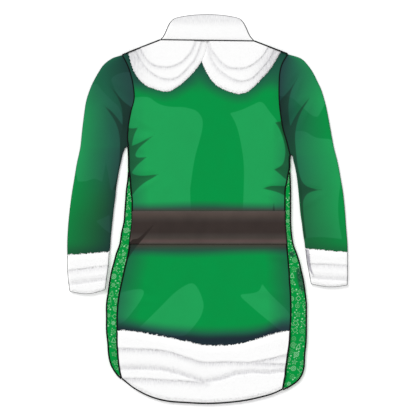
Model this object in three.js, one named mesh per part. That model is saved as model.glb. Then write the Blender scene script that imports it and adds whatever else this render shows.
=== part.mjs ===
// An elf costume: a long-sleeved tunic laid flat on a surface with its back up.
// Millimetres. X runs across the garment, Y from the hem to the collar, Z up from the surface.
// Each piece is a wall between an outer and an inner face, both worked out on the same grid of points.

import * as THREE from 'three';

// Cloth and pile
const CLOTH = 1.5;
const SEAM_GAP = 0.3;
const BACK_TOP = 6.6;
const BACK_UNDER = BACK_TOP - CLOTH;
const HALF_GAP = SEAM_GAP / 2;

// Plush trims: how high the top of each one lies, and how thick the wall next to the surface is
const HEM_BAND_TOP = 12.4;
const CUFF_TOP = 12.4;
const STAND_TOP = 11.2;
const PLUSH_UNDER_WALL = 3.9;
const LOBE_UNDER = BACK_TOP + SEAM_GAP;
const LOBE_RIM = 3.4;
const LOBE_TIER_STEP = 1.5;

// Trims that lie between the front and the surface
const FRONT_LOBE_THICK = 3.0;
const FRONT_BELT_THICK = 2.0;

// Belt: a flat strip sewn into both side seams
const BELT_HIGH_EDGE = -5;
const BELT_LOW_EDGE = -84;
const BELT_THICK = 2.2;

// The two ends of the collar seam
const NECK_LEFT = { x: -113, y: 406 };
const NECK_RIGHT = { x: 112, y: 403 };

// Armhole seams, from the shoulder point down to the armpit
const ARMHOLES = [
  { leftX: -205, leftY: 370, rightX: 193, rightY: 372 },
  { leftX: -194, leftY: 350, rightX: 180, rightY: 350 },
  { leftX: -186, leftY: 329, rightX: 174, rightY: 329 },
  { leftX: -179, leftY: 300, rightX: 172, rightY: 300 },
  { leftX: -176, leftY: 266, rightX: 172, rightY: 264 },
  { leftX: -184, leftY: 233, rightX: 175, rightY: 230 },
  { leftX: -190, leftY: 199, rightX: 181, rightY: 194 },
  { leftX: -192, leftY: 170, rightX: 190, rightY: 163 },
  { leftX: -189.5, leftY: 150, rightX: 198, rightY: 131 },
];

// Body sides, from the armpit down: the seam that joins back and side panel, and the fold at the outline.
// A side panel always keeps enough width to turn round its fold.
const SIDES = [
  { y: 120, leftFold: -193, leftSeam: -188, rightSeam: 196, rightFold: 201 },
  { y: 98, leftFold: -193, leftSeam: -188, rightSeam: 196, rightFold: 201 },
  { y: 74, leftFold: -193, leftSeam: -186, rightSeam: 192, rightFold: 201 },
  { y: 48, leftFold: -196, leftSeam: -184, rightSeam: 187, rightFold: 201 },
  { y: 22, leftFold: -198, leftSeam: -181, rightSeam: 186, rightFold: 201 },
  { y: -5, leftFold: -200, leftSeam: -181, rightSeam: 186, rightFold: 201 },
  { y: -31, leftFold: -202, leftSeam: -181, rightSeam: 186, rightFold: 201 },
  { y: -58, leftFold: -208, leftSeam: -184, rightSeam: 188, rightFold: 203 },
  { y: -84, leftFold: -212, leftSeam: -187, rightSeam: 190, rightFold: 207 },
  { y: -106, leftFold: -220, leftSeam: -190, rightSeam: 192, rightFold: 215 },
  { y: -128, leftFold: -226, leftSeam: -195, rightSeam: 194, rightFold: 222 },
  { y: -150, leftFold: -232, leftSeam: -200, rightSeam: 196, rightFold: 227 },
  { y: -172, leftFold: -236, leftSeam: -205, rightSeam: 197, rightFold: 232 },
  { y: -200, leftFold: -240, leftSeam: -211, rightSeam: 199, rightFold: 236 },
  { y: -228, leftFold: -244, leftSeam: -215, rightSeam: 200, rightFold: 239 },
  { y: -258, leftFold: -244, leftSeam: -217, rightSeam: 200, rightFold: 239 },
  { y: -292, leftFold: -244, leftSeam: -217, rightSeam: 198, rightFold: 239 },
  { y: -322, leftFold: -241, leftSeam: -217, rightSeam: 196, rightFold: 238 },
  { y: -350, leftFold: -239, leftSeam: -215, rightSeam: 192, rightFold: 235 },
  { y: -372, leftFold: -234, leftSeam: -213, rightSeam: 189, rightFold: 234 },
  { y: -386, leftFold: -227, leftSeam: -211, rightSeam: 187, rightFold: 232 },
  { y: -400, leftFold: -217, leftSeam: -208, rightSeam: 186, rightFold: 227 },
  { y: -415, leftFold: null, leftSeam: null, rightSeam: 183, rightFold: 215 },
  { y: -429, leftFold: null, leftSeam: null, rightSeam: 181, rightFold: 194 },
];
const HEM_BAND_START = -292;
const LEFT_HEM_CORNER = { x: -206, y: -408 };
const RIGHT_HEM_CORNER = { x: 180, y: -434 };

// The upper edge of the hem band and the curved hem, as the drop below a straight line between the corners
const HEM_CURVES = [
  { across: 0, bandDrop: 0, x: -206, y: -408 },
  { across: 0.1, bandDrop: 3, x: -175, y: -432 },
  { across: 0.2, bandDrop: 10, x: -138, y: -451 },
  { across: 0.3, bandDrop: 18, x: -98, y: -462 },
  { across: 0.4, bandDrop: 27, x: -50, y: -466 },
  { across: 0.5, bandDrop: 36, x: -2, y: -468 },
  { across: 0.6, bandDrop: 37, x: 44, y: -466 },
  { across: 0.7, bandDrop: 33, x: 88, y: -461 },
  { across: 0.8, bandDrop: 23, x: 126, y: -453 },
  { across: 0.9, bandDrop: 10, x: 155, y: -445 },
  { across: 1, bandDrop: 0, x: 180, y: -434 },
];

// Sleeve outlines: the outer fold and the underarm fold, from the armhole down to the cuff seam
const SLEEVES = {
  left: [
    { outerX: -205, outerY: 370, innerX: -189.5, innerY: 150 },
    { outerX: -229, outerY: 362, innerX: -197, innerY: 147 },
    { outerX: -248, outerY: 348, innerX: -200, innerY: 141 },
    { outerX: -261, outerY: 330, innerX: -204, innerY: 130 },
    { outerX: -275, outerY: 305, innerX: -207, innerY: 116 },
    { outerX: -284, outerY: 284, innerX: -210, innerY: 103 },
    { outerX: -291, outerY: 262, innerX: -213, innerY: 88 },
    { outerX: -295, outerY: 240, innerX: -216, innerY: 70 },
    { outerX: -298, outerY: 217, innerX: -219, innerY: 52 },
    { outerX: -302, outerY: 184, innerX: -221, innerY: 30 },
    { outerX: -306, outerY: 147, innerX: -224, innerY: 8 },
    { outerX: -314, outerY: 110, innerX: -226, innerY: -9 },
    { outerX: -320, outerY: 74, innerX: -228, innerY: -28 },
    { outerX: -326, outerY: 38, innerX: -230, innerY: -47 },
    { outerX: -331, outerY: 0, innerX: -232, innerY: -66 },
    { outerX: -335, outerY: -41, innerX: -233, innerY: -84 },
    { outerX: -337, outerY: -78, innerX: -234, innerY: -95 },
    { outerX: -337, outerY: -112, innerX: -235, innerY: -104 },
  ],
  right: [
    { outerX: 193, outerY: 372, innerX: 198, innerY: 131 },
    { outerX: 224, outerY: 362, innerX: 205, innerY: 126 },
    { outerX: 241, outerY: 346, innerX: 206, innerY: 117 },
    { outerX: 254, outerY: 327, innerX: 208, innerY: 109 },
    { outerX: 265, outerY: 305, innerX: 210, innerY: 101 },
    { outerX: 273, outerY: 288, innerX: 212, innerY: 91 },
    { outerX: 279, outerY: 269, innerX: 214, innerY: 80 },
    { outerX: 285, outerY: 247, innerX: 216, innerY: 64 },
    { outerX: 291, outerY: 217, innerX: 218, innerY: 46 },
    { outerX: 297, outerY: 184, innerX: 220, innerY: 24 },
    { outerX: 304, outerY: 147, innerX: 222, innerY: 0 },
    { outerX: 313, outerY: 112, innerX: 224, innerY: -18 },
    { outerX: 320, outerY: 74, innerX: 227, innerY: -38 },
    { outerX: 326, outerY: 38, innerX: 229, innerY: -55 },
    { outerX: 330, outerY: 0, innerX: 231, innerY: -69 },
    { outerX: 333, outerY: -41, innerX: 233, innerY: -80 },
    { outerX: 336, outerY: -78, innerX: 234, innerY: -89 },
    { outerX: 337, outerY: -105, innerX: 235, innerY: -96 },
  ],
};

// Cuffs, from the sleeve end down: both folds, and how far the end bulges below a straight line
const CUFFS = {
  left: [
    { outerX: -337, outerY: -112, innerX: -235, innerY: -104, bulge: 0 },
    { outerX: -337, outerY: -140, innerX: -237, innerY: -133, bulge: 2 },
    { outerX: -335, outerY: -170, innerX: -241, innerY: -163, bulge: 5 },
    { outerX: -331, outerY: -198, innerX: -245, innerY: -194, bulge: 8 },
  ],
  right: [
    { outerX: 235, outerY: -96, innerX: 337, innerY: -105, bulge: 0 },
    { outerX: 238, outerY: -125, innerX: 337, innerY: -132, bulge: 2 },
    { outerX: 243, outerY: -153, innerX: 337, innerY: -159, bulge: 4 },
    { outerX: 248, outerY: -180, innerX: 336, innerY: -183, bulge: 6 },
  ],
};

// Stand collar, from the neck seam up: its half outlines and how far the line between them bows up
const STAND = [
  { leftX: -84, leftY: 455, rightX: 85, rightY: 451, bow: 15 },
  { leftX: -88, leftY: 449, rightX: 89, rightY: 445, bow: 12 },
  { leftX: -94, leftY: 441, rightX: 94, rightY: 433, bow: 8 },
  { leftX: -99, leftY: 425, rightX: 101, rightY: 419, bow: 4 },
  { leftX: -113, leftY: 406, rightX: 112, rightY: 403, bow: 0 },
];

// Collar lobes as rays from the neck corner: the scalloped rim, and where two smaller tiers end on the ray
const LOBES = {
  left: {
    centre: { x: -111, y: 403 },
    rays: [
      { x: -190, y: 373, innerTier: 0.63, outerTier: 0.79 },
      { x: -184, y: 352, innerTier: 0.6, outerTier: 0.78 },
      { x: -176, y: 330, innerTier: 0.56, outerTier: 0.77 },
      { x: -162, y: 309, innerTier: 0.53, outerTier: 0.76 },
      { x: -146, y: 296, innerTier: 0.51, outerTier: 0.75 },
      { x: -126, y: 288, innerTier: 0.5, outerTier: 0.75 },
      { x: -103, y: 282, innerTier: 0.51, outerTier: 0.75 },
      { x: -84, y: 286, innerTier: 0.54, outerTier: 0.76 },
      { x: -66, y: 298, innerTier: 0.57, outerTier: 0.77 },
      { x: -48, y: 313, innerTier: 0.6, outerTier: 0.78 },
      { x: -30, y: 333, innerTier: 0.63, outerTier: 0.79 },
      { x: -14, y: 355, innerTier: 0.66, outerTier: 0.81 },
      { x: -6, y: 371, innerTier: 0.68, outerTier: 0.82 },
      { x: 1, y: 400, innerTier: 0.71, outerTier: 0.85 },
    ],
  },
  right: {
    centre: { x: 110, y: 400 },
    rays: [
      { x: 2, y: 399, innerTier: 0.86, outerTier: 0.93 },
      { x: -5, y: 371, innerTier: 0.83, outerTier: 0.91 },
      { x: -12, y: 355, innerTier: 0.79, outerTier: 0.89 },
      { x: -6, y: 337, innerTier: 0.73, outerTier: 0.86 },
      { x: 3, y: 319, innerTier: 0.68, outerTier: 0.83 },
      { x: 16, y: 302, innerTier: 0.61, outerTier: 0.79 },
      { x: 32, y: 291, innerTier: 0.56, outerTier: 0.76 },
      { x: 53, y: 282, innerTier: 0.52, outerTier: 0.74 },
      { x: 72, y: 277, innerTier: 0.51, outerTier: 0.74 },
      { x: 90, y: 279, innerTier: 0.51, outerTier: 0.74 },
      { x: 107, y: 290, innerTier: 0.52, outerTier: 0.75 },
      { x: 129, y: 312, innerTier: 0.54, outerTier: 0.76 },
      { x: 152, y: 338, innerTier: 0.55, outerTier: 0.78 },
      { x: 176, y: 375, innerTier: 0.6, outerTier: 0.8 },
    ],
  },
};
const FRONT_LOBE_SHARE = 0.7;

// Creases in the back and the sleeves: a dip that runs from its wide base to its tip
const CREASES = [
  { baseX: -190, baseY: 196, tipX: -125, tipY: 181, width: 15, depth: 2.4 },
  { baseX: -186, baseY: 226, tipX: -168, tipY: 196, width: 12, depth: 1.8 },
  { baseX: -190, baseY: 140, tipX: -147, tipY: 125, width: 13, depth: 2.2 },
  { baseX: -188, baseY: 62, tipX: -119, tipY: 84, width: 15, depth: 2.4 },
  { baseX: 178, baseY: 176, tipX: 163, tipY: 207, width: 11, depth: 1.8 },
  { baseX: 190, baseY: 84, tipX: 160, tipY: 96, width: 11, depth: 2 },
  { baseX: 187, baseY: 42, tipX: 132, tipY: 49, width: 13, depth: 2.2 },
  { baseX: -183, baseY: 256, tipX: -235, tipY: 298, width: 15, depth: 2.4 },
  { baseX: -200, baseY: 180, tipX: -249, tipY: 248, width: 17, depth: 2.4 },
  { baseX: 180, baseY: 264, tipX: 220, tipY: 323, width: 13, depth: 2.4 },
  { baseX: 194, baseY: 200, tipX: 245, tipY: 266, width: 14, depth: 2.4 },
  { baseX: 222, baseY: 34, tipX: 279, tipY: 46, width: 15, depth: 2.4 },
  { baseX: 197, baseY: -150, tipX: 150, tipY: -118, width: 14, depth: 1.8 },
  { baseX: -210, baseY: -180, tipX: -120, tipY: -215, width: 18, depth: 2 },
  { baseX: 198, baseY: -240, tipX: 110, tipY: -205, width: 18, depth: 2 },
];

const CREASE_TAPER = 0.6;
const CREASE_FADE = { start: -0.3, full: 0.05, leave: 0.6, end: 1.1 };
const CREASE_FLANK = { share: 0.4, place: 1.9, sharpness: 2 };
const DEEPEST_DIP = -2.6;

// Broad swells where the cloth lies loose
const SWELLS = [
  { x: -95, y: 110, halfLength: 130, halfWidth: 55, turn: 85, height: 2.4 },
  { x: 120, y: 110, halfLength: 130, halfWidth: 45, turn: 95, height: 2.2 },
  { x: -110, y: -235, halfLength: 110, halfWidth: 34, turn: 55, height: 2.4 },
  { x: 130, y: -240, halfLength: 80, halfWidth: 34, turn: 120, height: 2.4 },
  { x: 10, y: -200, halfLength: 90, halfWidth: 30, turn: 85, height: 1.4 },
  { x: -265, y: 170, halfLength: 120, halfWidth: 26, turn: 70, height: 2 },
  { x: 275, y: 120, halfLength: 120, halfWidth: 26, turn: 108, height: 2 },
  { x: -275, y: -20, halfLength: 70, halfWidth: 30, turn: 80, height: 1.6 },
  { x: 275, y: -20, halfLength: 70, halfWidth: 30, turn: 100, height: 1.6 },
];

// Where the relief fades out under the collar, the belt and the hem band, in distances from their edges
const FLAT_COLLAR = { from: 262, to: 300, inside: 185, outside: 215 };
const FLAT_BELT = { near: 6, far: 26, inside: 186, outside: 205 };
const FLAT_BAND = 40;

// Where the front cloth rises over its lobes and its belt
const RISE_LOBES = { from: 238, to: 278, inside: 168, outside: 205 };
const RISE_BELT = { near: 4, far: 24, inside: 191, outside: 203 };

// Soft folds in the plush hem band, as lines across it
const HEM_FOLDS = [
  { drop: 0.3, sag: -6, depth: 1.9, halfWidth: 9 },
  { drop: 0.68, sag: -8, depth: 2.2, halfWidth: 10 },
];
const BAND_LENGTH = 170;
const FOLD_WAVE = 60;
const BAND_ROUNDING = { lift: 2.4, start: -0.02, full: 0.1, leave: 0.93, end: 1.02 };

const { clamp, degToRad, lerp, mapLinear, smoothstep } = THREE.MathUtils;

// Reads a named column of a table at a share from 0 to 1 of its rows.
function column(rows, name, share) {
  const place = clamp(share, 0, 1) * (rows.length - 1);
  const row = Math.min(Math.floor(place), rows.length - 2);
  return lerp(rows[row][name], rows[row + 1][name], place - row);
}

// Splits each step of an evenly counted range into the number of parts given for it.
function shares(partsPerStep) {
  const list = [0];
  partsPerStep.forEach((parts, step) => {
    for (let part = 1; part <= parts; part += 1) {
      list.push((step + part / parts) / partsPerStep.length);
    }
  });
  return list;
}

// 1 where a point lies over the collar's lobes, falling to 0 below and beside them.
function overCollar(x, y, reach) {
  return smoothstep(y, reach.from, reach.to) * (1 - smoothstep(Math.abs(x), reach.inside, reach.outside));
}

// 1 where a point lies over the belt, falling to 0 above, below and beside it.
function overBelt(x, y, reach) {
  const aboveLow = smoothstep(y, BELT_LOW_EDGE - reach.far, BELT_LOW_EDGE - reach.near);
  const belowHigh = 1 - smoothstep(y, BELT_HIGH_EDGE + reach.near, BELT_HIGH_EDGE + reach.far);
  return aboveLow * belowHigh * (1 - smoothstep(Math.abs(x), reach.inside, reach.outside));
}

// How far the creases and swells lift or sink the cloth at a point. Collar, belt and hem band lie flat.
function relief(x, y) {
  let lift = 0;
  for (const swell of SWELLS) {
    const turn = degToRad(swell.turn);
    const along = ((x - swell.x) * Math.cos(turn) + (y - swell.y) * Math.sin(turn)) / swell.halfLength;
    const across = ((y - swell.y) * Math.cos(turn) - (x - swell.x) * Math.sin(turn)) / swell.halfWidth;
    lift += swell.height * Math.exp(-along * along - across * across);
  }
  for (const crease of CREASES) {
    const runX = crease.tipX - crease.baseX;
    const runY = crease.tipY - crease.baseY;
    const length = Math.hypot(runX, runY);
    const along = ((x - crease.baseX) * runX + (y - crease.baseY) * runY) / (length * length);
    const aside = Math.abs((x - crease.baseX) * runY - (y - crease.baseY) * runX) / length;
    const taper = 1 - CREASE_TAPER * clamp(along, 0, 1);
    const fade = smoothstep(along, CREASE_FADE.start, CREASE_FADE.full)
      * (1 - smoothstep(along, CREASE_FADE.leave, CREASE_FADE.end));
    const across = aside / (crease.width * taper);
    const fromFlank = (across - CREASE_FLANK.place) ** 2;
    const flank = CREASE_FLANK.share * Math.exp(-fromFlank * CREASE_FLANK.sharpness);
    lift += crease.depth * fade * (flank - Math.exp(-across * across));
  }
  const belowCollar = 1 - overCollar(x, y, FLAT_COLLAR);
  const offBelt = 1 - overBelt(x, y, FLAT_BELT);
  const offBand = smoothstep(y, HEM_BAND_START - FLAT_BAND, HEM_BAND_START + FLAT_BAND);
  return Math.max(lift, DEEPEST_DIP) * belowCollar * offBelt * offBand;
}

// Height of the face that lies on the surface: it rises over the trims that are sewn to the front.
function frontUnder(x, y) {
  const riseOverLobes = (FRONT_LOBE_THICK + SEAM_GAP) * overCollar(x, y, RISE_LOBES);
  const riseOverBelt = (FRONT_BELT_THICK + SEAM_GAP) * overBelt(x, y, RISE_BELT);
  return Math.max(riseOverLobes, riseOverBelt);
}

function frontTop(x, y) {
  return frontUnder(x, y) + CLOTH;
}

// Height of the upper face of the back, of sleeves and of side panels. A dip stops just above the front.
function backTop(x, y) {
  return Math.max(BACK_TOP + relief(x, y), frontTop(x, y) + SEAM_GAP + CLOTH);
}

function backUnder(x, y) {
  return backTop(x, y) - CLOTH;
}

// A closed wall between two grids of points. Rows run from the collar to the hem and columns from left to
// right on the upper side. A ring joins its last column to its first.
function wall(outer, inner, isRing) {
  const rows = outer.length;
  const columns = outer[0].length;
  const positions = [];
  for (const face of [outer, inner]) {
    face.forEach((row) => row.forEach((point) => positions.push(...point)));
  }
  const innerStart = rows * columns;
  const faces = [];
  const spans = isRing ? columns : columns - 1;
  const at = (row, col) => row * columns + (col % columns);
  const quad = (a, b, c, d) => faces.push(a, b, c, a, c, d);
  for (let row = 0; row < rows - 1; row += 1) {
    for (let col = 0; col < spans; col += 1) {
      const corners = [at(row, col), at(row + 1, col), at(row + 1, col + 1), at(row, col + 1)];
      quad(...corners);
      quad(...corners.map((corner) => corner + innerStart).reverse());
    }
  }
  for (let col = 0; col < spans; col += 1) {
    const high = [at(0, col), at(0, col + 1)];
    quad(high[0], high[1], high[1] + innerStart, high[0] + innerStart);
    const low = [at(rows - 1, col), at(rows - 1, col + 1)];
    quad(low[1], low[0], low[0] + innerStart, low[1] + innerStart);
  }
  if (!isRing) {
    for (let row = 0; row < rows - 1; row += 1) {
      const left = [at(row, 0), at(row + 1, 0)];
      quad(left[1], left[0], left[0] + innerStart, left[1] + innerStart);
      const right = [at(row, columns - 1), at(row + 1, columns - 1)];
      quad(right[0], right[1], right[1] + innerStart, right[0] + innerStart);
    }
  }
  const geometry = new THREE.BufferGeometry();
  geometry.setAttribute('position', new THREE.Float32BufferAttribute(positions, 3));
  geometry.setIndex(faces);
  geometry.computeVertexNormals();
  return geometry;
}

// Puts a height on every point of a flat plan.
function raise(plan, height) {
  return plan.map((row) => row.map(([x, y]) => [x, y, height(x, y)]));
}

// A patch between four edges: the blends of facing edges, less the blend of the four corners.
function patch(top, bottom, left, right, across, down) {
  return down.map((v) => across.map((u) => [0, 1].map((axis) => {
    const rowBlend = (1 - v) * top(u)[axis] + v * bottom(u)[axis];
    const sideBlend = (1 - u) * left(v)[axis] + u * right(v)[axis];
    const cornerBlend = (1 - v) * ((1 - u) * top(0)[axis] + u * top(1)[axis])
      + v * ((1 - u) * bottom(0)[axis] + u * bottom(1)[axis]);
    return rowBlend + sideBlend - cornerBlend;
  })));
}

// Pulls the outermost columns and rows of a plan in from the seams.
function inset(plan, { sides = HALF_GAP, top = 0, bottom = 0 }) {
  return plan.map((row, rowIndex) => row.map(([x, y], col) => {
    const sideways = (col === 0 ? sides : 0) - (col === row.length - 1 ? sides : 0);
    const down = (rowIndex === 0 ? top : 0) - (rowIndex === plan.length - 1 ? bottom : 0);
    return [x + sideways, y - down];
  }));
}

function mesh(name, geometry, color, roughness) {
  const material = new THREE.MeshStandardMaterial({ color, roughness, metalness: 0 });
  const piece = new THREE.Mesh(geometry, material);
  piece.name = name;
  return piece;
}

// Where each side seam runs, at a height on the body
function seamAt(side, y) {
  const corner = side === 'left' ? LEFT_HEM_CORNER : RIGHT_HEM_CORNER;
  const armpit = ARMHOLES[ARMHOLES.length - 1];
  const rows = [{ y: armpit[`${side}Y`], x: armpit[`${side}X`] }];
  SIDES.filter((row) => row[`${side}Seam`] !== null).forEach((row) => {
    rows.push({ y: row.y, x: row[`${side}Seam`] });
  });
  rows.push(corner);
  const below = Math.max(1, rows.findIndex((row) => row.y <= y));
  const low = rows[below];
  const high = rows[below - 1];
  return [mapLinear(y, high.y, low.y, high.x, low.x), y];
}

const UPPER_GREEN = 0x12934a;
const LINING_GREEN = 0x108241;
const PLUSH_WHITE = 0xf7f7f5;
const BELT_BROWN = 0x3b3330;
const VELOUR_ROUGHNESS = 0.7;
const PLUSH_ROUGHNESS = 0.95;
const BELT_ROUGHNESS = 0.5;

// Front and back panels: one plan for the chest, from the shoulders to the armpits, and one from there down
const shoulderSpan = ARMHOLES[0].rightX - ARMHOLES[0].leftX;
const NECK_LEFT_SHARE = (NECK_LEFT.x - ARMHOLES[0].leftX) / shoulderSpan;
const NECK_RIGHT_SHARE = (NECK_RIGHT.x - ARMHOLES[0].leftX) / shoulderSpan;

function topEdge(u) {
  const x = ARMHOLES[0].leftX + shoulderSpan * u;
  if (u < NECK_LEFT_SHARE) {
    return [x, mapLinear(u, 0, NECK_LEFT_SHARE, ARMHOLES[0].leftY, NECK_LEFT.y)];
  }
  if (u > NECK_RIGHT_SHARE) {
    return [x, mapLinear(u, NECK_RIGHT_SHARE, 1, NECK_RIGHT.y, ARMHOLES[0].rightY)];
  }
  return [x, mapLinear(u, NECK_LEFT_SHARE, NECK_RIGHT_SHARE, NECK_LEFT.y, NECK_RIGHT.y)];
}

function armholeEdge(side) {
  return (share) => [column(ARMHOLES, `${side}X`, share), column(ARMHOLES, `${side}Y`, share)];
}

function sideEdge(side, fromY, toY) {
  return (share) => seamAt(side, lerp(fromY, toY, share));
}

function straight(from, to) {
  return (u) => [lerp(from[0], to[0], u), lerp(from[1], to[1], u)];
}

// The upper edge of the hem band: a straight line between the side seams that sags in the middle
function bandEdge(u) {
  const [x, y] = straight(seamAt('left', HEM_BAND_START), seamAt('right', HEM_BAND_START))(u);
  return [x, y - column(HEM_CURVES, 'bandDrop', u)];
}

function hemEdge(u) {
  return [column(HEM_CURVES, 'x', u), column(HEM_CURVES, 'y', u)];
}

// Plan of a whole panel from the neck to the hem band, with the rows that the seams need
function panelPlan(across, armholeRows, sideRows) {
  const armpits = straight(armholeEdge('left')(1), armholeEdge('right')(1));
  const chest = patch(topEdge, armpits, armholeEdge('left'), armholeEdge('right'), across, armholeRows);
  const plan = [...chest];
  sideRows.forEach((y) => {
    plan.push(across.map((u) => {
      const sag = smoothstep(y, HEM_BAND_START, BELT_LOW_EDGE - 20);
      const [x, rowY] = straight(seamAt('left', y), seamAt('right', y))(u);
      return [x, rowY - (1 - sag) * column(HEM_CURVES, 'bandDrop', u)];
    }));
  });
  return inset(plan, { bottom: HALF_GAP });
}

// Shares across a panel: close together beside the seams, where the creases are, with both neck corners
function acrossPanel(beside, middle) {
  const list = [];
  for (let part = 0; part < beside; part += 1) {
    list.push(NECK_LEFT_SHARE * part / beside);
  }
  for (let part = 0; part <= middle; part += 1) {
    list.push(lerp(NECK_LEFT_SHARE, NECK_RIGHT_SHARE, part / middle));
  }
  for (let part = 1; part <= beside; part += 1) {
    list.push(lerp(NECK_RIGHT_SHARE, 1, part / beside));
  }
  return list;
}

const panelSideLevels = SIDES.map((row) => row.y).filter((y) => y >= HEM_BAND_START && y < 112);
const belowArmpits = [120, 109, 98, 86, ...panelSideLevels.filter((y) => y < 86)];
const backAcross = acrossPanel(7, 9);
const frontAcross = acrossPanel(3, 5);
const backPlan = panelPlan(backAcross, shares([1, 1, 1, 2, 3, 3, 3, 2]), belowArmpits);
const frontPlan = panelPlan(frontAcross, shares([1, 1, 1, 1, 1, 1, 1, 1]), belowArmpits);

const costume = new THREE.Group();
costume.add(mesh('back_body', wall(raise(backPlan, backTop), raise(backPlan, backUnder), false),
  UPPER_GREEN, VELOUR_ROUGHNESS));
costume.add(mesh('front_body', wall(raise(frontPlan, frontTop), raise(frontPlan, frontUnder), false),
  LINING_GREEN, VELOUR_ROUGHNESS));

// A strip that lies on the back, made from the back's own points between two rows
function beltStrip(across, under, top) {
  const levels = panelSideLevels.filter((y) => y <= BELT_HIGH_EDGE && y >= BELT_LOW_EDGE);
  const plan = levels.map((y) => across.map((u) => straight(seamAt('left', y), seamAt('right', y))(u)));
  return wall(raise(inset(plan, {}), top), raise(inset(plan, {}), under), false);
}

const BELT_UNDER = BACK_TOP + SEAM_GAP;
costume.add(mesh('belt_back', beltStrip(backAcross, () => BELT_UNDER, () => BELT_UNDER + BELT_THICK),
  BELT_BROWN, BELT_ROUGHNESS));
costume.add(mesh('belt_front', beltStrip(frontAcross, () => 0, () => FRONT_BELT_THICK),
  BELT_BROWN, BELT_ROUGHNESS));

// Hem bands: plush sewn to the lower edge of each panel
function hemBand(across, down, under, top) {
  const left = sideEdge('left', HEM_BAND_START, LEFT_HEM_CORNER.y);
  const right = sideEdge('right', HEM_BAND_START, RIGHT_HEM_CORNER.y);
  const plan = inset(patch(bandEdge, hemEdge, left, right, across, down), { top: HALF_GAP });
  return wall(raise(plan, top), raise(plan, under), false);
}

// How far down the hem band a point lies, from 0 at its upper edge to 1 at the hem
function bandShare(x, y) {
  const u = mapLinear(x, LEFT_HEM_CORNER.x, RIGHT_HEM_CORNER.x, 0, 1);
  const high = HEM_BAND_START - column(HEM_CURVES, 'bandDrop', u);
  const low = column(HEM_CURVES, 'y', u);
  return mapLinear(y, high, low, 0, 1);
}

function bandTop(x, y) {
  const share = bandShare(x, y);
  let height = HEM_BAND_TOP;
  for (const fold of HEM_FOLDS) {
    const offset = BAND_LENGTH * (share - fold.drop) - fold.sag * Math.cos(x / FOLD_WAVE);
    height -= fold.depth * Math.exp(-((offset / fold.halfWidth) ** 2));
  }
  const rounded = smoothstep(share, BAND_ROUNDING.start, BAND_ROUNDING.full)
    * (1 - smoothstep(share, BAND_ROUNDING.leave, BAND_ROUNDING.end));
  return lerp(BACK_TOP + BAND_ROUNDING.lift, height, rounded);
}

const backBand = hemBand(backAcross, shares(Array(8).fill(1)), () => BACK_UNDER, bandTop);
const frontBand = hemBand(frontAcross, shares(Array(3).fill(1)), () => 0, () => PLUSH_UNDER_WALL);
costume.add(mesh('hem_band_back', backBand, PLUSH_WHITE, PLUSH_ROUGHNESS));
costume.add(mesh('hem_band_front', frontBand, PLUSH_WHITE, PLUSH_ROUGHNESS));

// Side panels: one strip of cloth each, folded round the outline from the front seam to the back seam
const FOLD_TURNS = [-90, -45, 0, 45, 90];
const SIDE_PANEL_DROP = 3;
const NARROWEST_FOLD = 3.4;

function sidePanel(side) {
  const outward = side === 'left' ? -1 : 1;
  const top = { ...SIDES[0], y: column(ARMHOLES, `${side}Y`, 1) - SIDE_PANEL_DROP };
  const rows = [top, ...SIDES.filter((row) => row[`${side}Fold`] !== null)];
  const section = (thick) => rows.map((row) => {
    const seamX = seamAt(side, row.y)[0] + outward * HALF_GAP;
    const foldX = outward * Math.max(outward * row[`${side}Fold`], outward * seamX + NARROWEST_FOLD);
    const high = backTop(foldX, row.y);
    const half = high / 2 - thick;
    const turn = FOLD_TURNS.map((degrees) => {
      const angle = degToRad(degrees);
      const x = foldX - outward * (high / 2 - half * Math.cos(angle));
      return [x, row.y, high / 2 + half * Math.sin(angle)];
    });
    const middleX = (seamX + foldX - outward * high / 2) / 2;
    const under = (x) => [x, row.y, frontUnder(x, row.y) + thick];
    const over = (x) => [x, row.y, backTop(x, row.y) - thick];
    const bySeam = [under(seamX), under(middleX), ...turn, over(middleX), over(seamX)];
    return outward < 0 ? bySeam : bySeam.reverse();
  });
  return wall(section(0), section(CLOTH), false);
}

costume.add(mesh('side_panel_left', sidePanel('left'), LINING_GREEN, VELOUR_ROUGHNESS));
costume.add(mesh('side_panel_right', sidePanel('right'), LINING_GREEN, VELOUR_ROUGHNESS));

// A flattened tube: each row is a plan line from one fold to the other, taken over the top and back under.
// The layers meet in a half round turn at both folds.
const TUBE_TURNS = [-60, -20, 20, 60];

function tubeFace(plan, under, top, sideWall) {
  return plan.map((line) => {
    const last = line.length - 1;
    const fold = (edge, neighbour, turns) => {
      const [x, y] = line[edge];
      const [nextX, nextY] = line[neighbour];
      const reach = Math.hypot(nextX - x, nextY - y);
      const low = under(x, y);
      const half = (top(x, y) - low) / 2;
      return turns.map((degrees) => {
        const angle = degToRad(degrees);
        const inwards = (half + sideWall - half * Math.cos(angle)) / reach;
        const z = low + half + half * Math.sin(angle);
        return [lerp(x, nextX, inwards), lerp(y, nextY, inwards), z];
      });
    };
    const near = fold(0, 1, TUBE_TURNS);
    const far = fold(last, last - 1, [...TUBE_TURNS].reverse());
    const over = line.slice(1, last).map(([x, y]) => [x, y, top(x, y)]);
    const back = line.slice(1, last).reverse().map(([x, y]) => [x, y, under(x, y)]);
    return [...near, ...over, ...far, ...back];
  });
}

// Sleeves: the first row is the armhole seam itself
const sleeveAcross = shares([1, 1, 1, 1, 1, 1, 1, 1]);

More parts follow.
